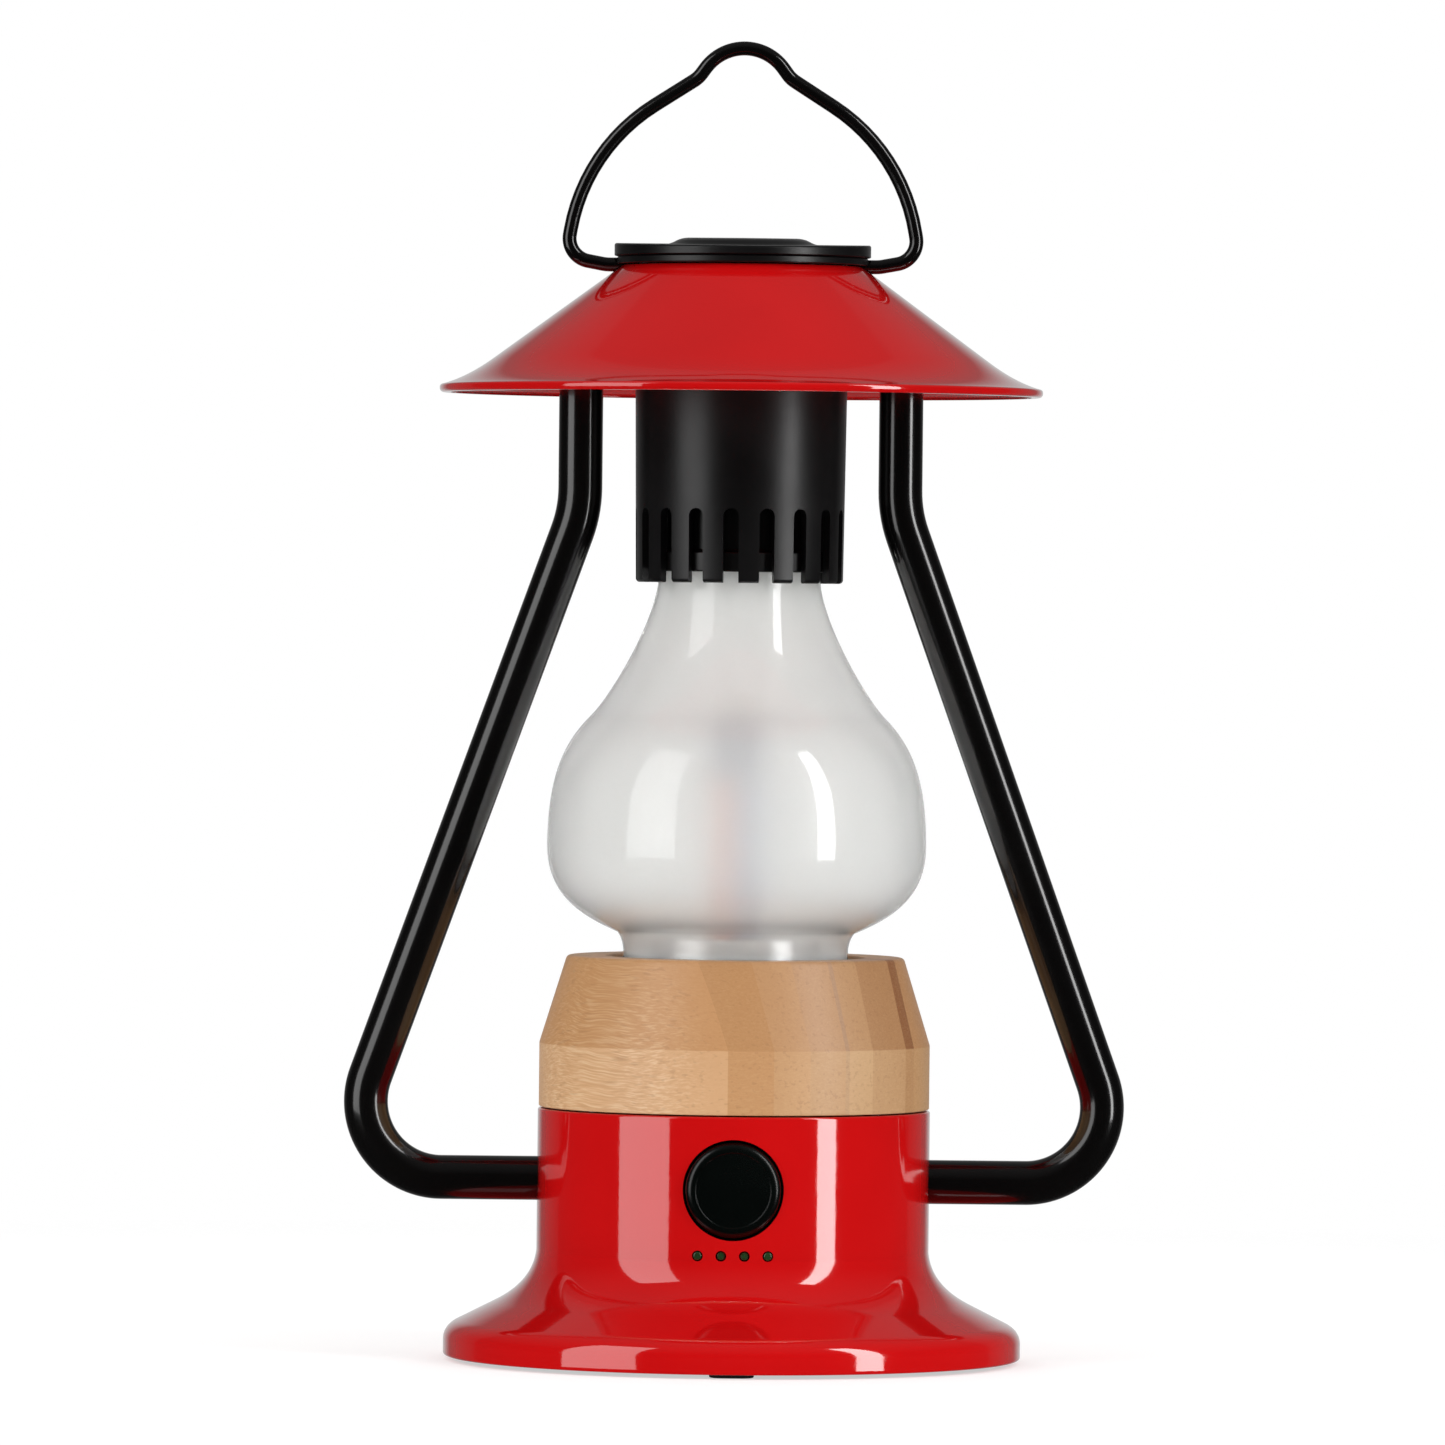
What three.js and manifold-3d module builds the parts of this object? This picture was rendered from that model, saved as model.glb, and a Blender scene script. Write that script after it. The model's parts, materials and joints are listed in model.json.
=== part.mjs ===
// A rechargeable camping lantern in the form of an old oil lamp: a flared base with the power
// button, a wooden collar, a frosted globe round an LED post, a slotted chimney, a conical shade
// held by two bent tubes, and a wire bail.
// Millimetres, +Z up. The origin is the middle of the circle of feet, on the surface they stand
// on. The button faces -Y and the charging ports face +Y.
import * as THREE from 'three';
import { mergeVertices } from 'three/addons/utils/BufferGeometryUtils.js';
import Module from 'manifold-3d';

const wasm = await Module();
wasm.setup();

// ---- Driving dimensions ----
const GAP = 0.3; // between neighbouring pieces
const ROUND_SIDES = 28; // of the large turned pieces
const INNER_SIDES = 20; // of the turned pieces inside them
const SMALL_SIDES = 16; // of the small turned pieces
const SCREW_SIDES = 8;

const FLANGE_RADIUS = 65.5;
const BASE_RADIUS = 44.5;
const BASE_WALL = 2.2;
const BASE_BOTTOM = 0.9;
const BASE_TOP = 57.3;
const DECK_HOLE_RADIUS = 14;
const PLATE_RADIUS = 62.6;
const PLATE_BOTTOM = 1.9;
const PLATE_TOP = 4.1;
const FOOT = { across: 10, deep: 6.5, high: 1.6, ring: 58 };
const BASE_SCREW_RING = 52;

const BUTTON = { z: 40.9, radius: 10.7, hole: 11.3, flange: 12.5, face: 45.2, back: 38.6 };
const LENS = { z: 26.2, pitch: 5.25, hole: 1.2, radius: 0.95, count: 4 };

const WOOD_TOP = 91.9;
const WOOD_RADIUS = 44.3;
const WOOD_BORE = 29.1;
const COLLAR_SCREW_RING = 36.5;

const GLASS_WALL = 1.8;
const NECK_RADIUS = 18.3;
const NECK_TOP = 191;

const CHIMNEY = { bottom: 176.6, top: 228.6, lowRadius: 23.5, radius: 24, bore: 21.7 };
const SLOT = { count: 18, width: 3.5, top: 193.4, firstAngle: 5 };

const TUBE = { radius: 5, bore: 4, end: 30, low: 41.1, elbow: 90.8, shoulder: 192.6, leg: 36.3, top: 228.7 };
const TUBE_ELBOW_BEND = 17.2;
const TUBE_SHOULDER_BEND = 30;

const BRACKET = { bottom: 229, top: 231.2, width: 13, disc: 20 };
const CAP_SCREW_X = 14;

const SHADE_RIM_RADIUS = 68.4;
const SHADE_RIM = 219.2;
const SHADE_TOP = 248.4;
const SHADE_TOP_RADIUS = 27.2;
const SHADE_TOP_WALL = 2.5;

const CAP = { radius: 29.1, bottom: SHADE_TOP + GAP, top: 253.4, crown: 254.9 };

const WIRE_RADIUS = 1.6;
const PIVOT_Z = 248.5;
const PIVOT_INNER_END = 24;
const GROOVE_RADIUS = 1.95;

const CELL = { radius: 9.1, length: 65, y: 10, z: 15.4 };
const PORT_WINDOW = { half: 15, low: 29.5, high: 45.5, floor: 39.3, back: 37.5 };
const PORT_Z = 37.6;
const COVER = { half: 14.6, low: 30.2, high: 44.8, outer: 44.4, inner: 42.4 };

// ---- Materials ----
const finish = (color, roughness, metalness) =>
  new THREE.MeshStandardMaterial({ color, roughness, metalness });
const redPaint = finish(0xc0141c, 0.12, 0.0);
const blackPaint = finish(0x0d0d0f, 0.15, 0.1);
const blackSatin = finish(0x1d1d20, 0.42, 0.0);
const blackRubber = finish(0x121212, 0.85, 0.0);
const bamboo = finish(0xcda069, 0.5, 0.0);
const frostedGlass = finish(0xdadde0, 0.35, 0.0);
const brightMetal = finish(0xd8d9db, 0.2, 1.0);
const steel = finish(0x9a9ca0, 0.35, 1.0);
const whitePlastic = finish(0xf0efea, 0.5, 0.0);
const warmPhosphor = finish(0xf2d7a8, 0.5, 0.0);
const coolPhosphor = finish(0xe6eef8, 0.5, 0.0);
const greenBoard = finish(0x1f5b38, 0.4, 0.0);
const cellWrap = finish(0x2f6fb0, 0.35, 0.0);
const smokedLens = finish(0x2c3a30, 0.2, 0.0);
const redWire = finish(0xa01818, 0.5, 0.0);

// ---- Solids and joins ----
function solidOf(geometry) {
  const bare = geometry.clone();
  bare.deleteAttribute('normal');
  bare.deleteAttribute('uv');
  const merged = mergeVertices(bare, 1e-4);
  const index = merged.index.array;
  const kept = [];
  for (let i = 0; i < index.length; i += 3) {
    const [a, b, c] = [index[i], index[i + 1], index[i + 2]];
    if (a !== b && b !== c && c !== a) kept.push(a, b, c);
  }
  const mesh = new wasm.Mesh({
    numProp: 3,
    vertProperties: new Float32Array(merged.attributes.position.array),
    triVerts: new Uint32Array(kept),
  });
  return new wasm.Manifold(mesh);
}

function geometryOf(solid) {
  const mesh = solid.getMesh();
  const geometry = new THREE.BufferGeometry();
  geometry.setAttribute('position', new THREE.BufferAttribute(mesh.vertProperties, 3));
  geometry.setIndex(new THREE.BufferAttribute(mesh.triVerts, 1));
  geometry.computeVertexNormals();
  return geometry;
}

const join = (solids) => solids.reduce((whole, piece) => whole.add(piece));
const cut = (solid, cutters) => cutters.reduce((whole, piece) => whole.subtract(piece), solid);

// A turned solid about Z; the profile is a list of [radius, height].
function turned(profile, sides = ROUND_SIDES) {
  const points = profile.map(([radius, height]) => new THREE.Vector2(radius, height));
  return solidOf(new THREE.LatheGeometry(points, sides).rotateX(Math.PI / 2));
}

function closed(profile) {
  return [...profile, profile[0]];
}

function rod(radius, low, high, sides = SMALL_SIDES) {
  return turned([[0, low], [radius, low], [radius, high], [0, high]], sides);
}

function ring(inner, outer, low, high, sides = ROUND_SIDES) {
  return turned(closed([[inner, low], [outer, low], [outer, high], [inner, high]]), sides);
}

function block([x0, x1], [y0, y1], [z0, z1]) {
  const box = new THREE.BoxGeometry(x1 - x0, y1 - y0, z1 - z0);
  return solidOf(box.translate((x0 + x1) / 2, (y0 + y1) / 2, (z0 + z1) / 2));
}

// A rod lying along X or along Y instead of Z.
const alongX = (solid) => solid.rotate([0, 90, 0]);
const alongFront = (solid) => solid.rotate([90, 0, 0]);

// A screw pointing up: a flat head below, a plain shank above.
function screw(x, y, headLow, headRadius, headHigh, shankRadius, shankTop) {
  const profile = [
    [0, headLow], [headRadius, headLow], [headRadius, headHigh],
    [shankRadius, headHigh], [shankRadius, shankTop], [0, shankTop],
  ];
  return turned(profile, SCREW_SIDES).translate([x, y, 0]);
}

// The points of an outline made of lines and curves, as [radius, height].
function outline(draw, divisions) {
  const path = new THREE.Path();
  draw(path);
  return path.getPoints(divisions).map((point) => [point.x, point.y]);
}

// The same outline moved sideways by the wall, towards the axis.
function insideOf(profile, wall) {
  return profile.map(([radius, height], i) => {
    const [r0, z0] = profile[Math.max(i - 1, 0)];
    const [r1, z1] = profile[Math.min(i + 1, profile.length - 1)];
    const length = Math.hypot(r1 - r0, z1 - z0);
    return [radius - (wall * (z1 - z0)) / length, height + (wall * (r1 - r0)) / length];
  });
}

// ---- Paths of round section ----
// A path that steps from station to station, so that a straight stretch takes a single step.
class StationPath extends THREE.Curve {
  constructor(stations) {
    super();
    this.stations = stations;
  }

  getPoint(t) {
    const place = t * (this.stations.length - 1);
    const i = Math.min(Math.floor(place), this.stations.length - 2);
    return this.stations[i].clone().lerp(this.stations[i + 1], place - i);
  }

  getPointAt(u) {
    return this.getPoint(u);
  }

  getTangentAt(u) {
    const last = this.stations.length - 1;
    const i = Math.round(u * last);
    const before = this.stations[i].clone().sub(this.stations[Math.max(i - 1, 0)]).normalize();
    const after = this.stations[Math.min(i + 1, last)].clone().sub(this.stations[i]).normalize();
    return before.add(after).normalize();
  }
}

// Stations along straight lines in the XZ plane whose corners [x, z, bend] are rounded.
function bentStations(corners, stepAngle) {
  const points = corners.map(([x, z]) => new THREE.Vector3(x, 0, z));
  const stations = [points[0]];
  for (let i = 1; i < points.length - 1; i += 1) {
    const into = points[i].clone().sub(points[i - 1]).normalize();
    const away = points[i + 1].clone().sub(points[i]).normalize();
    const turn = into.angleTo(away);
    const bend = corners[i][2];
    const start = points[i].clone().addScaledVector(into, -bend * Math.tan(turn / 2));
    const inward = away.clone().addScaledVector(into, -away.dot(into)).normalize();
    const steps = Math.max(1, Math.round(turn / stepAngle));
    for (let k = 0; k <= steps; k += 1) {
      const angle = (turn * k) / steps;
      const along = bend * Math.sin(angle);
      const across = bend * (1 - Math.cos(angle));
      stations.push(start.clone().addScaledVector(into, along).addScaledVector(inward, across));
    }
  }
  stations.push(points.at(-1));
  return stations;
}

function swept(stations, radius, bore, sides) {
  const section = new THREE.Shape();
  section.absarc(0, 0, radius, 0, 2 * Math.PI);
  if (bore > 0) {
    const hole = new THREE.Path();
    hole.absarc(0, 0, bore, 0, 2 * Math.PI, true);
    section.holes.push(hole);
  }
  const options = {
    steps: stations.length - 1,
    curveSegments: sides / 2, // three.js doubles it round a full circle
    bevelEnabled: false,
    extrudePath: new StationPath(stations),
  };
  return solidOf(new THREE.ExtrudeGeometry(section, options));
}

const mirrored = (solid) => solid.mirror([1, 0, 0]);

// ---- Base ----
// From the flange's lower edge up the flare to the top of the cylinder.
const baseOutline = outline((path) => {
  path.moveTo(FLANGE_RADIUS, BASE_BOTTOM);
  path.lineTo(FLANGE_RADIUS, 4.5);
  path.quadraticCurveTo(FLANGE_RADIUS, 7.4, 62.5, 8.9);
  path.lineTo(54, 13.2);
  path.quadraticCurveTo(45.3, 17.6, BASE_RADIUS, 25);
  path.lineTo(BASE_RADIUS, BASE_TOP - 0.6);
  path.lineTo(BASE_RADIUS - 0.6, BASE_TOP);
}, 4);

function baseScrewPlaces() {
  return [1, 3, 5, 7].map((eighth) => {
    const angle = (eighth * Math.PI) / 4;
    return [BASE_SCREW_RING * Math.cos(angle), BASE_SCREW_RING * Math.sin(angle)];
  });
}

function collarScrewPlaces() {
  return [90, 210, 330].map((degrees) => {
    const angle = THREE.MathUtils.degToRad(degrees);
    return [COLLAR_SCREW_RING * Math.cos(angle), COLLAR_SCREW_RING * Math.sin(angle)];
  });
}

function baseShell() {
  const bore = BASE_RADIUS - BASE_WALL;
  const deckUnderside = BASE_TOP - BASE_WALL;
  const lining = [
    [DECK_HOLE_RADIUS, BASE_TOP], [DECK_HOLE_RADIUS, deckUnderside], [bore, deckUnderside],
    [bore, 24], [44.9, 17.4], [52.8, 11.7], [63, 6.5], [63, BASE_BOTTOM],
  ];
  const skin = turned(closed([...baseOutline, ...lining]));
  const bosses = baseScrewPlaces().map(([x, y]) => rod(3.6, 4.4, 12, 12).translate([x, y, 0]));
  const room = PORT_WINDOW;
  const portWall = block([-room.half - 2, room.half + 2], [room.back, 42], [room.low - 2, room.high + 2])
    .intersect(rod(bore + 0.5, 0, BASE_TOP, ROUND_SIDES));
  const body = join([skin, portWall, ...bosses]);
  const tubeHoles = alongX(rod(TUBE.radius + GAP, -60, 60, SMALL_SIDES)).translate([0, 0, TUBE.low]);
  const buttonHole = alongFront(rod(BUTTON.hole, 30, 50, 24)).translate([0, 0, BUTTON.z]);
  const lensHoles = lensPlaces().map((x) =>
    alongFront(rod(LENS.hole, 30, 50, 10)).translate([x, 0, LENS.z]));
  const boreHoles = baseScrewPlaces().map(([x, y]) => rod(1.5, 4, 11, 8).translate([x, y, 0]));
  const deckHoles = collarScrewPlaces().map(([x, y]) => rod(1.8, 50, 60, 8).translate([x, y, 0]));
  const recess = block([-room.half, room.half], [room.floor, 50], [room.low, room.high]);
  const typeAHole = block([-13.1, 0.7], [30, 45], [PORT_Z - 3.2, PORT_Z + 3.2]);
  const typeCHole = block([3.6, 13.2], [30, 45], [PORT_Z - 2, PORT_Z + 2]);
  const clampHoles = clampScrewPlaces().map(([x, y]) => rod(1.7, 50, 60, 8).translate([x, y, 0]));
  return cut(body, [
    tubeHoles, buttonHole, ...lensHoles, ...boreHoles, ...deckHoles, recess, typeAHole, typeCHole,
    ...clampHoles,
  ]);
}

function basePlate() {
  const disc = rod(PLATE_RADIUS, PLATE_BOTTOM, PLATE_TOP, ROUND_SIDES);
  const holes = baseScrewPlaces().flatMap(([x, y]) => [
    rod(1.7, 1, 5, 8).translate([x, y, 0]),
    rod(3.4, 1, 3.3, 12).translate([x, y, 0]),
  ]);
  return cut(disc, holes);
}

function foot(angle) {
  const pad = new THREE.Shape();
  const end = FOOT.deep / 2;
  const straight = FOOT.across / 2 - end;
  pad.absarc(straight, 0, end, -Math.PI / 2, Math.PI / 2);
  pad.absarc(-straight, 0, end, Math.PI / 2, (3 * Math.PI) / 2);
  const geometry = new THREE.ExtrudeGeometry(pad, {
    depth: FOOT.high, curveSegments: 3, bevelEnabled: false,
  });
  return solidOf(geometry.translate(0, -FOOT.ring, 0).rotateZ(angle));
}

const baseScrew = ([x, y]) => screw(x, y, 2.1, 3, 3.1, 1.3, 10.6);

// ---- Button, indicator lights and their board ----
function lensPlaces() {
  return Array.from({ length: LENS.count }, (_, i) => (i - (LENS.count - 1) / 2) * LENS.pitch);
}

function powerButton() {
  const { radius, flange, face, back } = BUTTON;
  const profile = outline((path) => {
    path.moveTo(0, back - 0.5);
    path.lineTo(3, back - 0.5);
    path.lineTo(3, back);
    path.lineTo(flange, back);
    path.lineTo(flange, back + 1.4);
    path.lineTo(radius, back + 1.4);
    path.lineTo(radius, face - 1.9);
    path.quadraticCurveTo(radius, face, radius - 2.2, face);
    path.lineTo(0, face);
  }, 3);
  return alongFront(turned(profile, 24)).translate([0, 0, BUTTON.z]);
}

function indicatorLens(x) {
  const pin = turned([
    [0, 34.6], [LENS.radius, 34.6], [LENS.radius, 38], [1.7, 38], [1.7, 39], [LENS.radius, 39],
    [LENS.radius, 44.1], [0, 44.1],
  ], 8);
  return alongFront(pin).translate([x, 0, LENS.z]);
}

const switchBoard = () => block([-16, 16], [-33.6, -32], [22.4, 52]);

function tactSwitch() {
  const body = block([-3, 3], [-35.6, -33.8], [BUTTON.z - 3, BUTTON.z + 3]);
  const plunger = alongFront(rod(1.6, 35, 36.6, 10)).translate([0, 0, BUTTON.z]);
  return body.add(plunger);
}

// ---- Wooden collar, globe seat and light ----
function woodCollar() {
  const profile = outline((path) => {
    path.moveTo(WOOD_BORE, BASE_TOP + GAP);
    path.lineTo(WOOD_RADIUS, BASE_TOP + GAP);
    path.lineTo(WOOD_RADIUS, 70);
    path.quadraticCurveTo(44.2, 72, 43.6, 73.8);
    path.lineTo(38.6, 90.6);
    path.quadraticCurveTo(38.2, WOOD_TOP, 36.9, WOOD_TOP);
    path.lineTo(WOOD_BORE + 0.8, WOOD_TOP);
    path.lineTo(WOOD_BORE, WOOD_TOP - 0.8);
  }, 3);
  const holes = collarScrewPlaces().map(([x, y]) => rod(1.8, 50, 71, 8).translate([x, y, 0]));
  return cut(turned(closed(profile)), holes);
}

const collarScrew = ([x, y]) => screw(x, y, 52.9, 2.9, 54.8, 1.4, 70);

function globeSeat() {
  return turned(closed([
    [26.4, 57.8], [28.7, 57.8], [28.7, 91.2], [27.8, 91.2], [27.8, 89.2], [3.5, 89.2],
    [3.5, 86.8], [26.4, 86.8],
  ]), INNER_SIDES);
}

const globeGasket = () => ring(22.8, 27.4, 89.5, 91.1, INNER_SIDES);

const reflectorDisc = () => turned(closed([
  [8.2, 89.6], [22.2, 89.6], [22.2, 96.4], [21.4, 96.4], [20.6, 90.7], [8.2, 90.7],
]), INNER_SIDES);

const globeOutline = outline((path) => {
  path.moveTo(25.5, 91.4);
  path.lineTo(25.5, 93);
  path.quadraticCurveTo(25.7, 96, 27, 97.3);
  path.bezierCurveTo(36.5, 101.3, 43, 106.3, 43, 117);
  path.bezierCurveTo(43, 133, 39.2, 140.4, 33.2, 146.4);
  path.bezierCurveTo(29.2, 150.5, 18.6, 168, NECK_RADIUS, 178);
  path.lineTo(NECK_RADIUS, NECK_TOP);
}, 4);

function globe() {
  const lining = insideOf(globeOutline, GLASS_WALL).reverse();
  return turned(closed([...globeOutline, ...lining]));
}

const LED_POST = { half: 3.9, bottom: 89.6, top: 146 };
const LED_CHIP = { half: 1.4, high: 0.6, pitch: 8.6, count: 6 };

const ledPost = () => block(
  [-LED_POST.half, LED_POST.half], [-LED_POST.half, LED_POST.half], [LED_POST.bottom, LED_POST.top],
).rotate([0, 0, 45]);

// One board of light-emitting diodes on a side of the square post, which stands on its corner.
function ledBoard(quarter) {
  const back = -LED_POST.half - 0.1;
  const board = block([-3.6, 3.6], [back - 0.8, back], [91, 145]);
  const chips = Array.from({ length: LED_CHIP.count }, (_, i) => {
    const z = 96.5 + i * LED_CHIP.pitch;
    const low = z - LED_CHIP.half;
    return block([-LED_CHIP.half, LED_CHIP.half], [back - 1.4, back - 0.7], [low, low + 2 * LED_CHIP.half]);
  });
  return join([board, ...chips]).rotate([0, 0, 90 * quarter - 45]);
}

const ledCap = () => turned([
  [0, 146.3], [6.4, 146.3], [6.6, 147.4], [5.8, 149], [3.6, 150], [0, 150.3],
], 20);

// ---- Chimney ----
function slotCutter(angle) {
  const half = SLOT.width / 2;
  const opening = new THREE.Shape();
  opening.moveTo(-half, CHIMNEY.bottom - 4);
  opening.lineTo(half, CHIMNEY.bottom - 4);
  opening.lineTo(half, SLOT.top - half);
  opening.absarc(0, SLOT.top - half, half, 0, Math.PI);
  opening.lineTo(-half, CHIMNEY.bottom - 4);
  const reach = 2 * CHIMNEY.radius + 8;
  const prism = new THREE.ExtrudeGeometry(opening, {
    depth: reach, curveSegments: 2, bevelEnabled: false,
  });
  prism.rotateX(Math.PI / 2).translate(0, reach / 2, 0).rotateZ(angle);
  return solidOf(prism);
}

function chimney() {
  const { bottom, top, lowRadius, radius, bore } = CHIMNEY;
  const wall = turned(closed([
    [bore, bottom], [lowRadius - 0.4, bottom], [lowRadius, bottom + 0.6], [radius, 219.5],
    [radius, top], [9, top], [9, top - 2.2], [bore, top - 2.2],
  ]), 36);
  const slots = Array.from({ length: SLOT.count / 2 }, (_, i) => {
    const degrees = SLOT.firstAngle + (360 / SLOT.count) * i;
    return slotCutter(THREE.MathUtils.degToRad(degrees));
  });
  const screwHoles = [-CAP_SCREW_X, CAP_SCREW_X].map((x) => rod(1.8, 220, 230, 8).translate([x, 0, 0]));
  return cut(wall, [...slots, ...screwHoles]);
}

const neckHolder = () => turned(closed([
  [18.9, 179.1], [21.3, 179.1], [21.3, 183.4], [20, 184], [20, 197], [21.4, 197], [21.4, 199.2],
  [18.9, 199.2],
]), INNER_SIDES);

// ---- Frame tubes, clamps and top bracket ----
function frameTube() {
  const stations = bentStations([
    [TUBE.end, TUBE.low],
    [TUBE.elbow, TUBE.low, TUBE_ELBOW_BEND],
    [TUBE.leg, TUBE.shoulder, TUBE_SHOULDER_BEND],
    [TUBE.leg, TUBE.top],
  ], 0.22);
  return swept(stations, TUBE.radius, TUBE.bore, 14);
}

function clampScrewPlaces() {
  return [[-35.5, -7.6], [-35.5, 7.6], [35.5, -7.6], [35.5, 7.6]];
}

// A block under the deck that the tube's end runs through.
function tubeClamp() {
  const body = block([31, 39.6], [-10.4, 10.4], [33.6, 54.8]);
  const bore = alongX(rod(TUBE.radius + GAP, 20, 50, SMALL_SIDES)).translate([0, 0, TUBE.low]);
  const holes = [-7.6, 7.6].map((y) => rod(1.7, 30, 60, 8).translate([35.5, y, 0]));
  return cut(body, [bore, ...holes]);
}

const clampScrew = ([x, y]) => screw(x, y, 31.8, 2.7, 33.4, 1.4, 56.6);

function topBracket() {
  const bar = new THREE.Shape();
  const end = BRACKET.width / 2;
  bar.absarc(TUBE.leg, 0, end, -Math.PI / 2, Math.PI / 2);
  bar.absarc(-TUBE.leg, 0, end, Math.PI / 2, (3 * Math.PI) / 2);
  const depth = BRACKET.top - BRACKET.bottom;
  const arm = solidOf(new THREE.ExtrudeGeometry(bar, { depth, curveSegments: 4, bevelEnabled: false }))
    .translate([0, 0, BRACKET.bottom]);
  const disc = rod(BRACKET.disc, BRACKET.bottom, BRACKET.top, 24);
  const plugs = [-TUBE.leg, TUBE.leg].map((x) =>
    rod(TUBE.bore - GAP, 219, BRACKET.top - 0.5, 12).translate([x, 0, 0]));
  const holes = [-CAP_SCREW_X, CAP_SCREW_X].map((x) => rod(1.8, 220, 240, 8).translate([x, 0, 0]));
  return cut(join([arm, disc, ...plugs]), holes);
}

const standoff = () => ring(1.9, 4.2, BRACKET.top + GAP, 245.6, 12).translate([CAP_SCREW_X, 0, 0]);
const capScrew = () => screw(CAP_SCREW_X, 0, 223.6, 3.2, 226.1, 1.5, 251.2);

// ---- Shade, cap and bail ----
const shadeOutline = outline((path) => {
  path.moveTo(0, SHADE_RIM);
  path.lineTo(67.7, SHADE_RIM);
  path.lineTo(SHADE_RIM_RADIUS, SHADE_RIM + 0.7);
  path.lineTo(SHADE_RIM_RADIUS, SHADE_RIM + 1.3);
  path.lineTo(67.4, SHADE_RIM + 1.9);
  path.quadraticCurveTo(61.8, 222.9, 55.9, 227.3);
  path.lineTo(SHADE_TOP_RADIUS, SHADE_TOP);
  path.lineTo(0, SHADE_TOP);
}, 4);

const shadeCavity = outline((path) => {
  path.moveTo(0, 210);
  path.lineTo(65.9, 210);
  path.lineTo(65.9, SHADE_RIM + 0.5);
  path.quadraticCurveTo(61, 221, 54.9, 226.1);
  path.lineTo(27, SHADE_TOP - SHADE_TOP_WALL);
  path.lineTo(0, SHADE_TOP - SHADE_TOP_WALL);
}, 4);

// The round channel along X that a bail end turns in.
function bailGroove() {
  const radius = GROOVE_RADIUS / Math.cos(Math.PI / 12);
  return alongX(rod(radius, PIVOT_INNER_END - 0.5, 45, 12)).translate([0, 0, PIVOT_Z]);
}

const bothSides = (solid) => [solid, mirrored(solid)];

function shade() {
  const holes = [-CAP_SCREW_X, CAP_SCREW_X].map((x) => rod(1.9, 240, 250, 8).translate([x, 0, 0]));
  return cut(turned(shadeOutline), [turned(shadeCavity), ...holes, ...bothSides(bailGroove())]);
}

function topCap() {
  const { radius, bottom, top, crown } = CAP;
  const profile = outline((path) => {
    path.moveTo(0, bottom);
    path.lineTo(radius - 0.5, bottom);
    path.lineTo(radius - 0.5, 250.2);
    path.lineTo(radius, 250.4);
    path.lineTo(radius, top - 0.5);
    path.lineTo(radius - 0.5, top);
    path.lineTo(17, top);
    path.quadraticCurveTo(15, top, 13.4, top + 1);
    path.quadraticCurveTo(7, crown - 0.1, 0, crown);
  }, 2);
  const holes = [-CAP_SCREW_X, CAP_SCREW_X].map((x) => rod(1.7, 240, 252, 8).translate([x, 0, 0]));
  return cut(turned(profile), [...bothSides(bailGroove()), ...holes]);
}

// The wire rises from its ends, leans in over wide shoulders and makes a small loop at the top.
function bail() {
  const right = [
    [PIVOT_INNER_END, PIVOT_Z],
    [31, PIVOT_Z, 9],
    [40.1, 250.2, 5.2],
    [36.02, 274.68, 42],
    [10.48, 291.01, 6.5],
  ];
  const left = right.map(([x, ...rest]) => [-x, ...rest]).reverse();
  const corners = [...right, [0, 305.4, 10.9], ...left];
  return swept(bentStations(corners, 0.24), WIRE_RADIUS, 0, 8);
}

// ---- Batteries, charging board and ports ----
function batteryHolder() {
  const tray = new THREE.Shape();
  tray.moveTo(-33, -21);
  [[33, -21], [36.5, -17.5], [36.5, 17.5], [33, 21], [-33, 21], [-36.5, 17.5], [-36.5, -17.5]]
    .forEach(([x, y]) => tray.lineTo(x, y));
  const body = solidOf(new THREE.ExtrudeGeometry(tray, { depth: 11, bevelEnabled: false }))
    .translate([0, 0, 4.5]);
  const half = CELL.length / 2 + 0.5;
  const cradles = [-CELL.y, CELL.y].map((y) =>
    alongX(rod(CELL.radius + GAP, -half, half, 16)).translate([0, y, CELL.z]));
  return cut(body, cradles);
}

const batteryCell = (y) =>
  alongX(rod(CELL.radius, -CELL.length / 2, CELL.length / 2, 16)).translate([0, y, CELL.z]);

const chargeBoard = () => block([-18, 18], [30.4, 32], [26, 50]);

// A socket shell open to the rear, with its tongue inside.
function socket(x, halfWidth, halfHeight, wall, tongue) {
  const z = PORT_Z;
  const shell = block([x - halfWidth, x + halfWidth], [32.3, 39], [z - halfHeight, z + halfHeight]);
  const inside = block(
    [x - halfWidth + wall, x + halfWidth - wall], [33.2, 40],
    [z - halfHeight + wall, z + halfHeight - wall],
  );
  const blade = block([x - halfWidth + 1.3, x + halfWidth - 1.3], [33, 38.4], [z - tongue, z + tongue]);
  return shell.subtract(inside).add(blade);
}

function portCover() {
  const { half, low, high, outer, inner } = COVER;
  const skin = turned(closed([[inner, low], [outer, low], [outer, high], [inner, high]]), 48);
  return skin.intersect(block([-half, half], [30, 50], [low - 1, high + 1]));
}

// ---- Leads ----
function lead(points, radius) {
  const curve = new THREE.CatmullRomCurve3(points.map((point) => new THREE.Vector3(...point)));
  return swept(curve.getPoints(12), radius, 0, 8);
}

const ledLead = () => lead([
  [0, -31.4, 46], [0, -26, 47.5], [0, -12, 50], [0, -3, 60], [0, 0, 74], [0, 0, 89],
], 1.2);

const batteryLead = () => lead([
  [10, -31.4, 30], [12, -27, 29.5], [15, -16, 28.5], [20, -5, 27.5], [24, 0, 26], [24.5, 0, 22.6],
], 1.1);

const chargeLead = () => lead([
  [-8, 30, 30], [-8, 26, 29.6], [-9, 12, 28.4], [-9, -8, 28.4], [-8, -26, 29.6], [-8, -31.4, 30],
], 1.1);

// ---- Assembly ----
const lantern = new THREE.Group();

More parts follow.
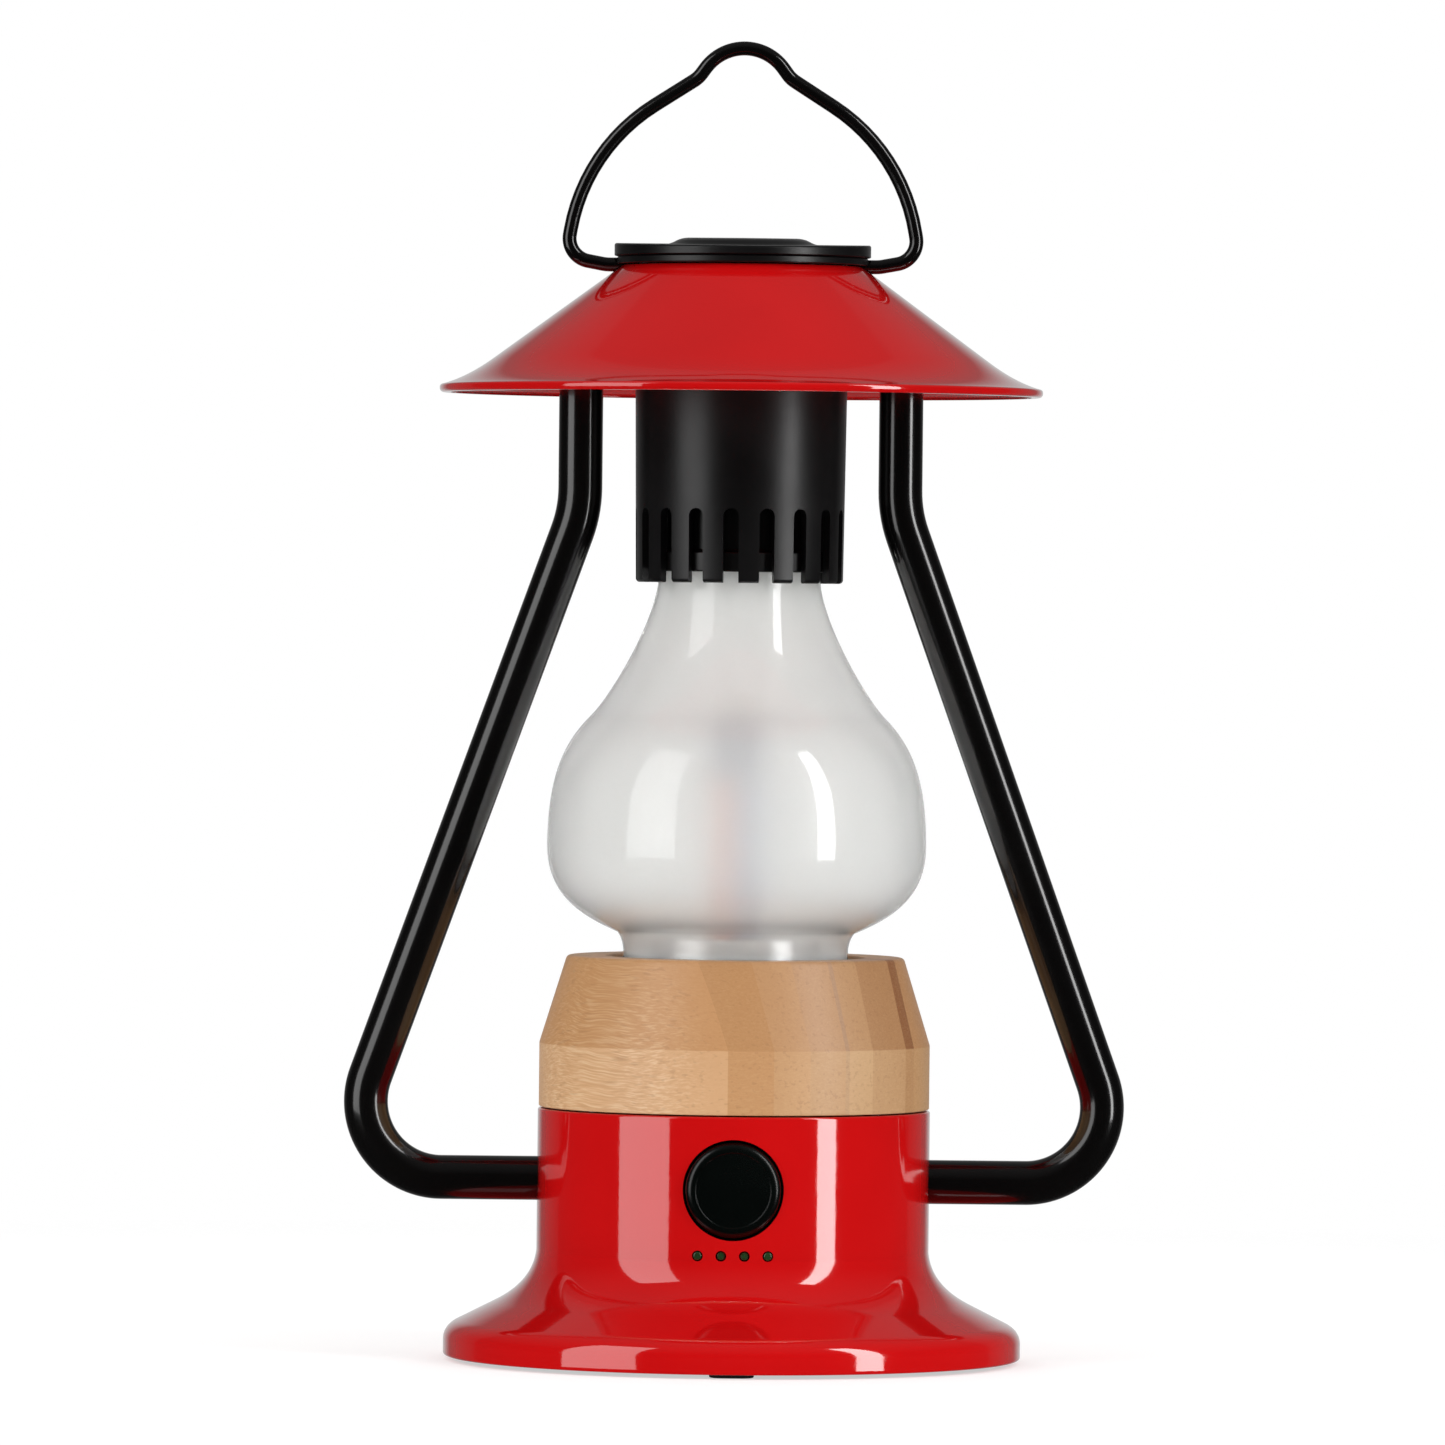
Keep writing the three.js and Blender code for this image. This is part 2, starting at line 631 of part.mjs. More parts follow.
function place(name, solid, material) {
  const mesh = new THREE.Mesh(geometryOf(solid), material);
  mesh.name = name;
  lantern.add(mesh);
}

place('base_shell', baseShell(), redPaint);
place('base_plate', basePlate(), blackSatin);
['front', 'right', 'rear', 'left'].forEach((side, i) =>
  place(`foot_${side}`, foot((i * Math.PI) / 2), blackRubber));
baseScrewPlaces().forEach((spot, i) => place(`base_screw_${i + 1}`, baseScrew(spot), steel));

place('wood_collar', woodCollar(), bamboo);
collarScrewPlaces().forEach((spot, i) => place(`collar_screw_${i + 1}`, collarScrew(spot), steel));
place('globe_seat', globeSeat(), blackSatin);
place('globe_gasket', globeGasket(), blackRubber);
place('reflector_disc', reflectorDisc(), brightMetal);
place('globe', globe(), frostedGlass);

place('led_post', ledPost(), whitePlastic);
['front_right', 'rear_right', 'rear_left', 'front_left'].forEach((corner, i) =>
  place(`led_board_${corner}`, ledBoard(i + 1), corner.endsWith('left') ? warmPhosphor : coolPhosphor));
place('led_cap', ledCap(), whitePlastic);

place('chimney', chimney(), blackSatin);
place('neck_holder', neckHolder(), blackSatin);
place('frame_tube_right', frameTube(), blackPaint);
place('frame_tube_left', mirrored(frameTube()), blackPaint);
place('tube_clamp_right', tubeClamp(), blackSatin);
place('tube_clamp_left', mirrored(tubeClamp()), blackSatin);
clampScrewPlaces().forEach((spot, i) => place(`clamp_screw_${i + 1}`, clampScrew(spot), steel));

place('top_bracket', topBracket(), steel);
place('standoff_right', standoff(), steel);
place('standoff_left', mirrored(standoff()), steel);
place('cap_screw_right', capScrew(), steel);
place('cap_screw_left', mirrored(capScrew()), steel);
place('shade', shade(), redPaint);
place('top_cap', topCap(), blackSatin);
place('bail', bail(), blackPaint);

place('power_button', powerButton(), blackSatin);
place('switch_board', switchBoard(), greenBoard);
place('tact_switch', tactSwitch(), blackSatin);
lensPlaces().forEach((x, i) => place(`indicator_lens_${i + 1}`, indicatorLens(x), smokedLens));

place('battery_holder', batteryHolder(), blackSatin);
place('battery_cell_front', batteryCell(-CELL.y), cellWrap);
place('battery_cell_rear', batteryCell(CELL.y), cellWrap);
place('charge_board', chargeBoard(), greenBoard);
place('usb_a_port', socket(-6.2, 6.6, 2.9, 0.4, 0.9), brightMetal);
place('usb_c_port', socket(8.4, 4.5, 1.65, 0.35, 0.35), brightMetal);
place('port_cover', portCover(), blackRubber);

place('led_lead', ledLead(), redWire);
place('battery_lead', batteryLead(), redWire);
place('charge_lead', chargeLead(), redWire);

export default lantern;
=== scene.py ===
"""The looks of a rechargeable camping lantern in oil-lamp form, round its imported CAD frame.

Shapes are written in millimetres and made in metres. Front is -Y, up is +Z.
"""
import json
import math

import bpy
import numpy as np
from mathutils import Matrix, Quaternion, Vector

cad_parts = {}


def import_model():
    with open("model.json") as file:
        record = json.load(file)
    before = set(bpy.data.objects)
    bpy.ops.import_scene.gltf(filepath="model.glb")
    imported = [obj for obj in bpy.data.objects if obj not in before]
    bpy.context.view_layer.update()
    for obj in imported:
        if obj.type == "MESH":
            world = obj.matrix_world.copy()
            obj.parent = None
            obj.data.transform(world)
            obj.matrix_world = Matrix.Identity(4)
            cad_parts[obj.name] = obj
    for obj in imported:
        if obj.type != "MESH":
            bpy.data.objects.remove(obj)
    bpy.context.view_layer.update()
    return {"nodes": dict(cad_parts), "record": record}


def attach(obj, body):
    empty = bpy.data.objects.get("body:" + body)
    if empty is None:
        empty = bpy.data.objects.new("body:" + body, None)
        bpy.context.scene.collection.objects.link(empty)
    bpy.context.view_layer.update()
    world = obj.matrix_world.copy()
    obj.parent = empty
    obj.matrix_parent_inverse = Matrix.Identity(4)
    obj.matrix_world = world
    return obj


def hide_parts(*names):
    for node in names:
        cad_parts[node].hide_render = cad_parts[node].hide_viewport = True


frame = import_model()

MM = 0.001
ROUND = 168      # sides of the large turned pieces
FINE_ARC = math.radians(11)

# Driving dimensions, in millimetres, as in the CAD part
BASE_RADIUS = 44.5
BASE_TOP = 57.3
WOOD_BOTTOM = 57.6
SHADE_TOP = 248.4
SHADE_RIM = 219.2
PIVOT_Z = 248.5
WIRE_RADIUS = 1.6
BUTTON_Z = 40.9
LENS_Z = 26.2
LENS_X = [-7.875, -2.625, 2.625, 7.875]
TUBE_Z = 41.1
TUBE_TOP_X = 36.3
CAP_SCREW_X = 14
BASE_SCREW_RING = 52
FOOT_RING = 58
GLASS_WALL = 1.8
PORT_Z = 37.6


# ---------------------------------------------------------------- outlines

def curve3(a, b, c, d, count):
    """Points of a cubic curve after its first point."""
    steps = np.linspace(0, 1, count + 1)[1:, None]
    a, b, c, d = (np.array(p, float) for p in (a, b, c, d))
    rest = 1 - steps
    points = rest**3 * a + 3 * rest**2 * steps * b + 3 * rest * steps**2 * c + steps**3 * d
    return [tuple(p) for p in points]


def curve2(a, b, c, count):
    """Points of a quadratic curve after its first point."""
    a, b, c = (np.array(p, float) for p in (a, b, c))
    return curve3(a, a + (b - a) * 2 / 3, c + (b - c) * 2 / 3, c, count)


def rounded(corners, closed=True, step=FINE_ARC):
    """Points of an outline whose corners (a, b, bend) are rounded by arcs."""
    points = []
    count = len(corners)
    for i, (a, b, *bend) in enumerate(corners):
        here = Vector((a, b))
        bend = bend[0] if bend else 0
        if not bend or (not closed and i in (0, count - 1)):
            points.append((a, b))
            continue
        into = (here - Vector(corners[i - 1][:2])).normalized()
        away = (Vector(corners[(i + 1) % count][:2]) - here).normalized()
        turn = into.angle(away)
        start = here - into * bend * math.tan(turn / 2)
        inward = (away - into * away.dot(into)).normalized()
        steps = max(2, math.ceil(turn / step))
        for k in range(steps + 1):
            angle = turn * k / steps
            offset = into * math.sin(angle) + inward * (1 - math.cos(angle))
            points.append(tuple(start + bend * offset))
    return points


def supported(points, closed=True, inset=0.18, least=1.0):
    """The same outline with a point near each end of its long straight stretches."""
    made = []
    count = len(points)
    for i, point in enumerate(points):
        made.append(point)
        if not closed and i == count - 1:
            break
        here, there = Vector(point), Vector(points[(i + 1) % count])
        length = (there - here).length
        if length > least:
            along = (there - here) / length
            made.append(tuple(here + along * inset))
            made.append(tuple(there - along * inset))
    return made


def offset_inward(points, wall):
    """An open outline moved towards the axis by the wall."""
    line = np.array(points, float)
    along = np.gradient(line, axis=0)
    along /= np.linalg.norm(along, axis=1)[:, None]
    return [tuple(p) for p in line + wall * np.stack([-along[:, 1], along[:, 0]], 1)]


# ---------------------------------------------------------------- meshes

def new_object(name, points, faces):
    mesh = bpy.data.meshes.new(name)
    mesh.from_pydata([tuple(c * MM for c in p) for p in points], [], faces)
    mesh.update()
    mesh.shade_smooth()
    obj = bpy.data.objects.new(name, mesh)
    bpy.context.scene.collection.objects.link(obj)
    return obj


def turned(name, profile, sides=ROUND, closed=True, centre=(0, 0)):
    """A surface turned about a vertical axis. An open profile starts and ends on the axis."""
    points, rings = [], []
    for radius, z in profile:
        if radius < 1e-6:
            rings.append([len(points)] * sides)
            points.append((centre[0], centre[1], z))
            continue
        rings.append(list(range(len(points), len(points) + sides)))
        for k in range(sides):
            angle = 2 * math.pi * k / sides
            points.append((centre[0] + radius * math.cos(angle), centre[1] + radius * math.sin(angle), z))
    faces = []
    pairs = list(zip(rings, rings[1:])) + ([(rings[-1], rings[0])] if closed else [])
    for low, high in pairs:
        for k in range(sides):
            m = (k + 1) % sides
            corners = [low[k], low[m], high[m], high[k]]
            unique = list(dict.fromkeys(corners))
            if len(unique) > 2:
                faces.append(unique)
    return new_object(name, points, faces)


def facing_front(obj, z, x=0.0):
    """Turns a piece made about +Z so that its top faces -Y, and lifts it to its height."""
    for vertex in obj.data.vertices:
        a, b, c = vertex.co
        vertex.co = (a + x * MM, -c, b + z * MM)
    obj.data.update()
    return obj


def swept(name, stations, radius, bore=0.0, sides=32):
    """A tube or wire along points (x, z) of the XZ plane."""
    line = np.array(stations, float)
    step = np.diff(line, axis=0)
    step /= np.linalg.norm(step, axis=1)[:, None]
    along = np.vstack([step[:1], step[:-1] + step[1:], step[-1:]])
    along /= np.linalg.norm(along, axis=1)[:, None]
    stretch = np.ones(len(line))
    stretch[1:-1] = 1 / np.clip(np.sum(along[1:-1] * step[1:], axis=1), 0.5, 1)
    points = []

    def ring(i, size):
        first = len(points)
        for k in range(sides):
            angle = 2 * math.pi * k / sides
            across = size * math.cos(angle) * stretch[i]
            points.append((
                line[i][0] - along[i][1] * across, size * math.sin(angle), line[i][1] + along[i][0] * across,
            ))
        return list(range(first, first + sides))

    last = len(line) - 1
    rings = [ring(i, radius) for i in range(last + 1)]
    if bore:
        rings += [ring(i, bore) for i in range(last, -1, -1)]
    faces = []
    pairs = list(zip(rings, rings[1:])) + ([(rings[-1], rings[0])] if bore else [])
    for a, b in pairs:
        faces += [[a[k], b[k], b[(k + 1) % sides], a[(k + 1) % sides]] for k in range(sides)]
    if not bore:
        faces += [rings[0], rings[-1][::-1]]
    return new_object(name, points, faces)


def prism(name, outline, low, high, upright=True):
    """An outline (a, b) extruded along Z, or along Y when it is an (x, z) outline."""
    count = len(outline)
    place = (lambda a, b, c: (a, b, c)) if upright else (lambda a, b, c: (a, c, b))
    points = [place(a, b, low) for a, b in outline] + [place(a, b, high) for a, b in outline]
    faces = [list(range(count))[::-1], list(range(count, 2 * count))]
    faces += [[i, (i + 1) % count, (i + 1) % count + count, i + count] for i in range(count)]
    obj = new_object(name, points, faces)
    if not upright:
        obj.data.flip_normals()
    return obj


def combine(obj, other, operation):
    """A boolean with another object, which is used up."""
    modifier = obj.modifiers.new("combine", "BOOLEAN")
    modifier.operation = operation
    modifier.solver = "EXACT"
    modifier.object = other
    made = bpy.data.meshes.new_from_object(obj.evaluated_get(bpy.context.evaluated_depsgraph_get()))
    obj.modifiers.clear()
    obj.data = made
    made.name = obj.name
    bpy.data.objects.remove(other)
    return obj


def bevelled(obj, width, segments=2, angle=40):
    modifier = obj.modifiers.new("bevel", "BEVEL")
    modifier.width = width * MM
    modifier.segments = segments
    modifier.limit_method = "ANGLE"
    modifier.angle_limit = math.radians(angle)
    made = bpy.data.meshes.new_from_object(obj.evaluated_get(bpy.context.evaluated_depsgraph_get()))
    obj.modifiers.clear()
    obj.data = made
    made.name = obj.name
    return obj


def smooth_by_angle(obj, degrees=35):
    obj.data.shade_smooth()
    obj.data.set_sharp_from_angle(angle=math.radians(degrees))
    return obj


def keep_turned_normals(obj, profile, degrees=35):
    """After cuts, gives what is left of a turned surface the smooth normals that it had."""
    smooth_by_angle(obj, degrees)
    mesh = obj.data
    line = np.array(profile, float)
    start, end = line, np.roll(line, -1, axis=0)
    along = end - start
    length = np.linalg.norm(along, axis=1)
    unit = along / length[:, None]
    flat = np.stack([unit[:, 1], -unit[:, 0]], 1)
    at_start = flat + np.roll(flat, 1, axis=0)
    at_start /= np.linalg.norm(at_start, axis=1)[:, None]
    at_end = np.roll(at_start, -1, axis=0)

    def nearest(places):
        offset = places[:, None, :] - start[None]
        t = np.clip(np.sum(offset * unit[None], 2) / length[None], 0, 1)
        foot = start[None] + along[None] * t[:, :, None]
        gap = np.linalg.norm(places[:, None, :] - foot, axis=2)
        best = gap.argmin(1)
        rows = np.arange(len(places))
        share = t[rows, best][:, None]
        normal = at_start[best] * (1 - share) + at_end[best] * share
        return gap[rows, best], normal / np.linalg.norm(normal, axis=1)[:, None]

    co = np.array([v.co for v in mesh.vertices]) / MM
    radius = np.hypot(co[:, 0], co[:, 1])
    gaps, normals = nearest(np.stack([radius, co[:, 2]], 1))
    outward = co[:, :2] / np.maximum(radius, 1e-6)[:, None]
    surface = np.concatenate([outward * normals[:, :1], normals[:, 1:]], 1)
    corners = np.array([c.vector for c in mesh.corner_normals])
    for polygon in mesh.polygons:
        vertices = list(polygon.vertices)
        if gaps[vertices].max() > 0.06:
            continue
        guess = surface[vertices].mean(0)
        if np.dot(guess, polygon.normal) > 0.85 * np.linalg.norm(guess):
            corners[list(polygon.loop_indices)] = surface[vertices]
    mesh.normals_split_custom_set([tuple(n) for n in corners])
    return obj


# ---------------------------------------------------------------- materials

class Shader:
    """A material made of nodes; sockets may be given numbers, colours or other nodes' outputs."""

    def __init__(self, name):
        self.material = bpy.data.materials.new(name)
        self.material.use_nodes = True
        self.tree = self.material.node_tree
        self.tree.nodes.clear()

    def add(self, kind, inputs=None, **settings):
        made = self.tree.nodes.new(kind)
        for key, value in settings.items():
            setattr(made, key, value)
        for key, value in (inputs or {}).items():
            if isinstance(value, bpy.types.NodeSocket):
                self.tree.links.new(value, made.inputs[key])
            else:
                made.inputs[key].default_value = value
        return made

    def place(self, scale=(1, 1, 1), turn=0.0):
        """Object coordinates in metres, turned about Z and then stretched."""
        at = self.add("ShaderNodeTexCoord").outputs["Object"]
        around = self.add("ShaderNodeVectorRotate", {"Vector": at, "Angle": turn}, rotation_type="Z_AXIS")
        grown = self.add("ShaderNodeVectorMath", {0: around.outputs[0], 1: scale}, operation="MULTIPLY")
        return grown.outputs[0]

    def noise(self, where, scale, detail=2.0, roughness=0.5, distortion=0.0):
        made = self.add("ShaderNodeTexNoise", {
            "Vector": where, "Scale": scale, "Detail": detail, "Roughness": roughness,
            "Distortion": distortion,
        })
        return made.outputs["Fac"]

    def math(self, operation, a, b=0.0, clamp=False):
        return self.add("ShaderNodeMath", {0: a, 1: b}, operation=operation, use_clamp=clamp).outputs[0]

    def remap(self, value, low, high, to_low, to_high):
        made = self.add("ShaderNodeMapRange", {
            "Value": value, "From Min": low, "From Max": high, "To Min": to_low, "To Max": to_high,
        })
        return made.outputs["Result"]

    def ramp(self, value, stops, interpolation="LINEAR"):
        made = self.add("ShaderNodeValToRGB", {"Fac": value})
        ramp = made.color_ramp
        ramp.interpolation = interpolation
        while len(ramp.elements) < len(stops):
            ramp.elements.new(0.5)
        for element, (position, colour) in zip(ramp.elements, stops):
            element.position = position
        for element, (position, colour) in zip(ramp.elements, stops):
            element.color = (*colour, 1)
        return made.outputs["Color"]

    def mix(self, share, a, b):
        return self.add("ShaderNodeMix", {0: share, 6: a, 7: b}, data_type="RGBA").outputs[2]

    def bump(self, height, strength, distance):
        made = self.add("ShaderNodeBump", {"Height": height, "Strength": strength, "Distance": distance})
        return made.outputs["Normal"]

    def finish(self, **inputs):
        names = {key.replace("_", " "): value for key, value in inputs.items()}
        shader = self.add("ShaderNodeBsdfPrincipled")
        for key, value in names.items():
            socket = next(s for s in shader.inputs if s.name.lower() == key.lower())
            if isinstance(value, bpy.types.NodeSocket):
                self.tree.links.new(value, socket)
            else:
                socket.default_value = value
        self.add("ShaderNodeOutputMaterial", {"Surface": shader.outputs[0]})
        return self.material


def colour(r, g, b):
    """A display colour, 0 to 255, as linear light."""
    def linear(value):
        value /= 255
        return value / 12.92 if value <= 0.04045 else ((value + 0.055) / 1.055) ** 2.4
    return (linear(r), linear(g), linear(b))


def paint(name, light, dark, rough=(0.05, 0.1), peel=0.03, coat=1.0, coat_rough=0.03):
    """Sprayed or moulded gloss: faint cloudiness, orange peel, fine wipe marks and a clear top."""
    s = Shader(name)
    where = s.place()
    cloud = s.noise(where, 22, 3)
    tone = s.ramp(cloud, [(0.3, dark), (0.7, light)])
    wipes = s.noise(s.place((1, 1, 0.06)), 2600, 2, 0.6)
    dull = s.math("ADD", s.math("MULTIPLY", cloud, 0.5), s.math("MULTIPLY", wipes, 0.5))
    surface = s.noise(where, 650, 2, 0.4)
    return s.finish(
        Base_Color=tone, Roughness=s.remap(dull, 0.25, 0.75, *rough),
        Normal=s.bump(surface, peel, 0.0004), Coat_Weight=coat, Coat_Roughness=coat_rough,
    )


def moulded(name, light, dark, rough=(0.34, 0.46), grain=0.12, scale=5200):
    """Moulded plastic or rubber with a fine even grain and slightly polished high spots."""
    s = Shader(name)
    where = s.place()
    cloud = s.noise(where, 60, 3)
    fine = s.noise(where, scale, 2, 0.6)
    tone = s.mix(s.math("MULTIPLY", fine, 0.35), s.ramp(cloud, [(0.3, dark), (0.7, light)]), (*light, 1))
    mixed = s.math("ADD", s.math("MULTIPLY", cloud, 0.6), s.math("MULTIPLY", fine, 0.4))
    return s.finish(
        Base_Color=tone, Roughness=s.remap(mixed, 0.3, 0.7, *rough), Normal=s.bump(fine, grain, 0.0001),
    )


def metal(name, light, dark, rough=(0.2, 0.38), stretch=(1, 1, 0.04)):
    """Plated or drawn metal with fine drawn lines."""
    s = Shader(name)
    lines = s.noise(s.place(stretch), 3200, 3, 0.65)
    cloud = s.noise(s.place(), 90, 3)
    tone = s.mix(s.math("MULTIPLY", cloud, 0.6), s.ramp(lines, [(0.3, dark), (0.7, light)]), (*light, 1))
    return s.finish(
        Base_Color=tone, Metallic=1.0, Roughness=s.remap(lines, 0.3, 0.7, *rough),
        Normal=s.bump(lines, 0.08, 0.0001),
    )


# Planks of the bamboo block: where each starts across the block, in mm, its tone where the lathe
# ran along the fibres, and its tone on the taper, which cuts across them; the taper tones are darker as
# painted shade on a taper that faces up
PLANKS = [
    (-46, (222, 175, 128), (201, 148, 97)), (-32.6, (203, 152, 101), (190, 139, 89)),
    (-24.5, (206, 160, 113), (194, 146, 100)), (-17, (201, 158, 113), (190, 144, 102)),
    (-8.4, (196, 157, 116), (178, 137, 104)), (-7.4, (206, 166, 121), (189, 143, 99)),
    (-0.4, (196, 154, 110), (176, 128, 85)), (11.8, (184, 139, 94), (138, 85, 48)),
    (15.7, (192, 148, 101), (182, 132, 86)), (30, (203, 155, 107), (190, 141, 94)),
]
BLOCK_WIDTH = 92     # of the block that the collar is turned from, in mm
PLANK_TURN = math.radians(-45)
CONE_FOOT = 0.072    # height at which the collar starts to taper, in metres


def bamboo():
    """Laminated bamboo, turned: planks with fibres along them, seen as silky wavy lines where the
    surface runs along them and as flecks and dots where it cuts them."""
    s = Shader("bamboo")
    where = s.place((1, 1, 1), PLANK_TURN)
    split = s.add("ShaderNodeSeparateXYZ", {"Vector": where}).outputs
    across = s.math("ADD", s.math("MULTIPLY", split[0], 1000 / BLOCK_WIDTH), 0.5)
    half = BLOCK_WIDTH / 2
    # The taper tones are painted darker than the round ones: painted shade where the taper faces up
    round_tone, taper_tone_painted_shade = (
        s.ramp(across, [((plank[0] + half) / BLOCK_WIDTH, colour(*plank[k])) for plank in PLANKS], "CONSTANT")
        for k in (1, 2)
    )
    taper = s.remap(split[2], CONE_FOOT - 0.0001, CONE_FOOT + 0.0001, 0.0, 1.0)
    plank = s.mix(taper, round_tone, taper_tone_painted_shade)
    drift = s.noise(where, 45, 2)
    sway = s.add("ShaderNodeVectorMath", {
        0: s.place((0.5, 0.035, 1.35), PLANK_TURN),
        1: s.add("ShaderNodeCombineXYZ", {"Z": s.remap(drift, 0, 1, -0.004, 0.004)}).outputs[0],
    }, operation="ADD").outputs[0]
    silk = s.noise(sway, 2200, 2, 0.6, 0.15)
    fibres = s.noise(s.place((1, 0.05, 1), PLANK_TURN), 2400, 3, 0.7, 0.2)
    pores = s.noise(s.place((1, 0.03, 1), PLANK_TURN), 1150, 1, 0.5)
    face = s.math("MULTIPLY", s.remap(split[0], -0.042, -0.0345, 1.0, 0.12), s.remap(taper, 0, 1, 1.0, 0.5))
    bright = s.math("MULTIPLY", s.remap(silk, 0.5, 0.64, 0.0, 0.78), face)
    lit = s.mix(bright, plank, (*colour(238, 203, 160), 1))
    dim = s.math("MULTIPLY", s.remap(silk, 0.5, 0.36, 0.0, 0.25), face)
    lined = s.mix(dim, lit, (*colour(176, 122, 72), 1))
    warm = s.mix(s.remap(fibres, 0.42, 0.72, 0.0, 0.16), lined, (*colour(226, 186, 134), 1))
    dotted = s.mix(s.remap(pores, 0.6, 0.72, 0.0, 0.2), warm, (*colour(140, 90, 50), 1))
    patch = s.noise(s.place((1, 0.3, 0.6), PLANK_TURN), 60, 3)
    tone = s.mix(s.remap(patch, 0.35, 0.7, 0.0, 0.2), dotted, (*colour(176, 122, 74), 1))
    ripple = s.math("MULTIPLY", silk, s.math("MULTIPLY", face, 0.8))
    relief = s.math("ADD", s.math("MULTIPLY", fibres, 0.4), ripple)
    return s.finish(
        Base_Color=tone, Roughness=s.remap(silk, 0.35, 0.65, 0.55, 0.42),
        Normal=s.bump(relief, 0.2, 0.0004), Coat_Weight=0.3, Coat_Roughness=0.32,
    )


def frosted_glass():
    """Glass that is etched inside and polished outside, with a trace of green."""
    s = Shader("frosted_glass")
    etch = s.noise(s.place(), 1500, 3, 0.6)
    cloud = s.noise(s.place(), 25, 2)
    mixed = s.math("ADD", s.math("MULTIPLY", etch, 0.5), s.math("MULTIPLY", cloud, 0.5))
    tone = s.ramp(mixed, [(0.3, colour(250, 251, 249)), (0.7, colour(254, 254, 253))])
    return s.finish(
        Base_Color=tone, Roughness=s.remap(mixed, 0.3, 0.7, 0.5, 0.6), IOR=1.18,
        Transmission_Weight=0.74, Coat_Weight=1.0, Coat_Roughness=0.015, Coat_IOR=1.5,
    )


BOARD_BARE_FROM = 0.132   # height at which the diodes end on each board, in metres
DIODE_FACE = 0.00485      # how far from the axis the diodes' faces are, and the boards' aren't


def diode_board(name, board, chip, glow):
    """White solder mask, with the raised diodes in their own colour, and a bare upper end."""
    s = Shader(name)
    split = s.add("ShaderNodeSeparateXYZ", {"Vector": s.place((1, 1, 1), math.radians(45))}).outputs
    reach = s.math("MAXIMUM", s.math("ABSOLUTE", split[0]), s.math("ABSOLUTE", split[1]))
    raised = s.math("GREATER_THAN", reach, DIODE_FACE)
    fine = s.noise(s.place(), 900, 2)
    mask = s.mix(s.math("MULTIPLY", fine, 0.3), (*board, 1), (*glow, 1))
    lit = s.mix(raised, mask, (*chip, 1))
    bare = s.remap(split[2], BOARD_BARE_FROM - 0.001, BOARD_BARE_FROM + 0.001, 0.0, 1.0)
    tone = s.mix(bare, lit, (*colour(138, 142, 158), 1))
    return s.finish(
        Base_Color=tone, Roughness=s.remap(fine, 0.3, 0.7, 0.35, 0.5), Normal=s.bump(fine, 0.05, 0.0001),
    )


def circuit_board():
    """Green solder mask with lighter copper runs under it."""
    s = Shader("board_green")
    where = s.place()
    runs = s.add("ShaderNodeTexBrick", {
        "Vector": where, "Scale": 220.0, "Color1": (*colour(24, 92, 52), 1),
        "Color2": (*colour(18, 74, 42), 1), "Mortar": (*colour(48, 128, 76), 1), "Mortar Size": 0.03,
    }).outputs["Color"]
    fine = s.noise(where, 1200, 2)
    return s.finish(
        Base_Color=runs, Roughness=s.remap(fine, 0.3, 0.7, 0.3, 0.42), Normal=s.bump(fine, 0.05, 0.0001),
    )


def floor_material():
    """A pale floor that fades out well away from the object."""
    s = Shader("studio_floor")
    at = s.add("ShaderNodeTexCoord").outputs["Object"]
    away = s.add("ShaderNodeVectorMath", {0: at}, operation="LENGTH").outputs["Value"]
    grain = s.noise(at, 40, 3)
    fade = s.math("ADD", s.remap(away, 0.14, 0.6, 1.0, 0.0), s.remap(grain, 0, 1, -0.01, 0.01), clamp=True)
    matt = s.add("ShaderNodeBsdfDiffuse", {"Color": (0.55, 0.55, 0.55, 1)}).outputs[0]
    glow = s.add("ShaderNodeEmission", {"Color": (1, 1, 1, 1), "Strength": 0.55}).outputs[0]
    surface = s.add("ShaderNodeAddShader", {0: matt, 1: glow}).outputs[0]
    clear = s.add("ShaderNodeBsdfTransparent").outputs[0]
    both = s.add("ShaderNodeMixShader", {0: fade, 1: clear, 2: surface}).outputs[0]
    s.add("ShaderNodeOutputMaterial", {"Surface": both})
    return s.material


MATERIALS = {
    "red_gloss": paint("red_gloss", colour(211, 15, 17), colour(202, 12, 14)),
    "black_gloss": paint("black_gloss", colour(11, 10, 10), colour(7, 6, 6), (0.14, 0.22), 0.02, 0.6, 0.07),
    "black_button": moulded("black_button", colour(3, 8, 6), colour(1, 5, 4), (0.22, 0.3), 0.05, 4200),
    "black_satin": moulded("black_satin", colour(16, 16, 17), colour(9, 9, 10), (0.3, 0.4)),
    "rubber_black": moulded("rubber_black", colour(30, 30, 30), colour(20, 20, 20), (0.7, 0.88), 0.3, 3000),
    "bamboo": bamboo(),
    "frosted_glass": frosted_glass(),
    "bright_metal": metal("bright_metal", colour(232, 232, 234), colour(205, 205, 208), (0.08, 0.16)),
    "steel": metal("steel", colour(188, 190, 194), colour(150, 152, 156)),
    "white_plastic": moulded("white_plastic", colour(240, 238, 232), colour(228, 226, 220), (0.4, 0.52)),
    "phosphor_warm": diode_board(
        "phosphor_warm", colour(226, 178, 168), colour(226, 146, 104), colour(228, 158, 150),
    ),
    "phosphor_cool": diode_board(
        "phosphor_cool", colour(168, 174, 200), colour(184, 190, 178), colour(150, 158, 196),
    ),
    "board_green": circuit_board(),
    "smoked_lens": paint("smoked_lens", colour(44, 74, 36), colour(26, 48, 24), (0.1, 0.2)),
    "cell_wrap": paint("cell_wrap", colour(52, 116, 178), colour(40, 98, 158), (0.25, 0.35)),
    "wire_insulation": moulded("wire_insulation", colour(168, 26, 26), colour(146, 20, 20), (0.4, 0.5)),
}


# ---------------------------------------------------------------- pieces

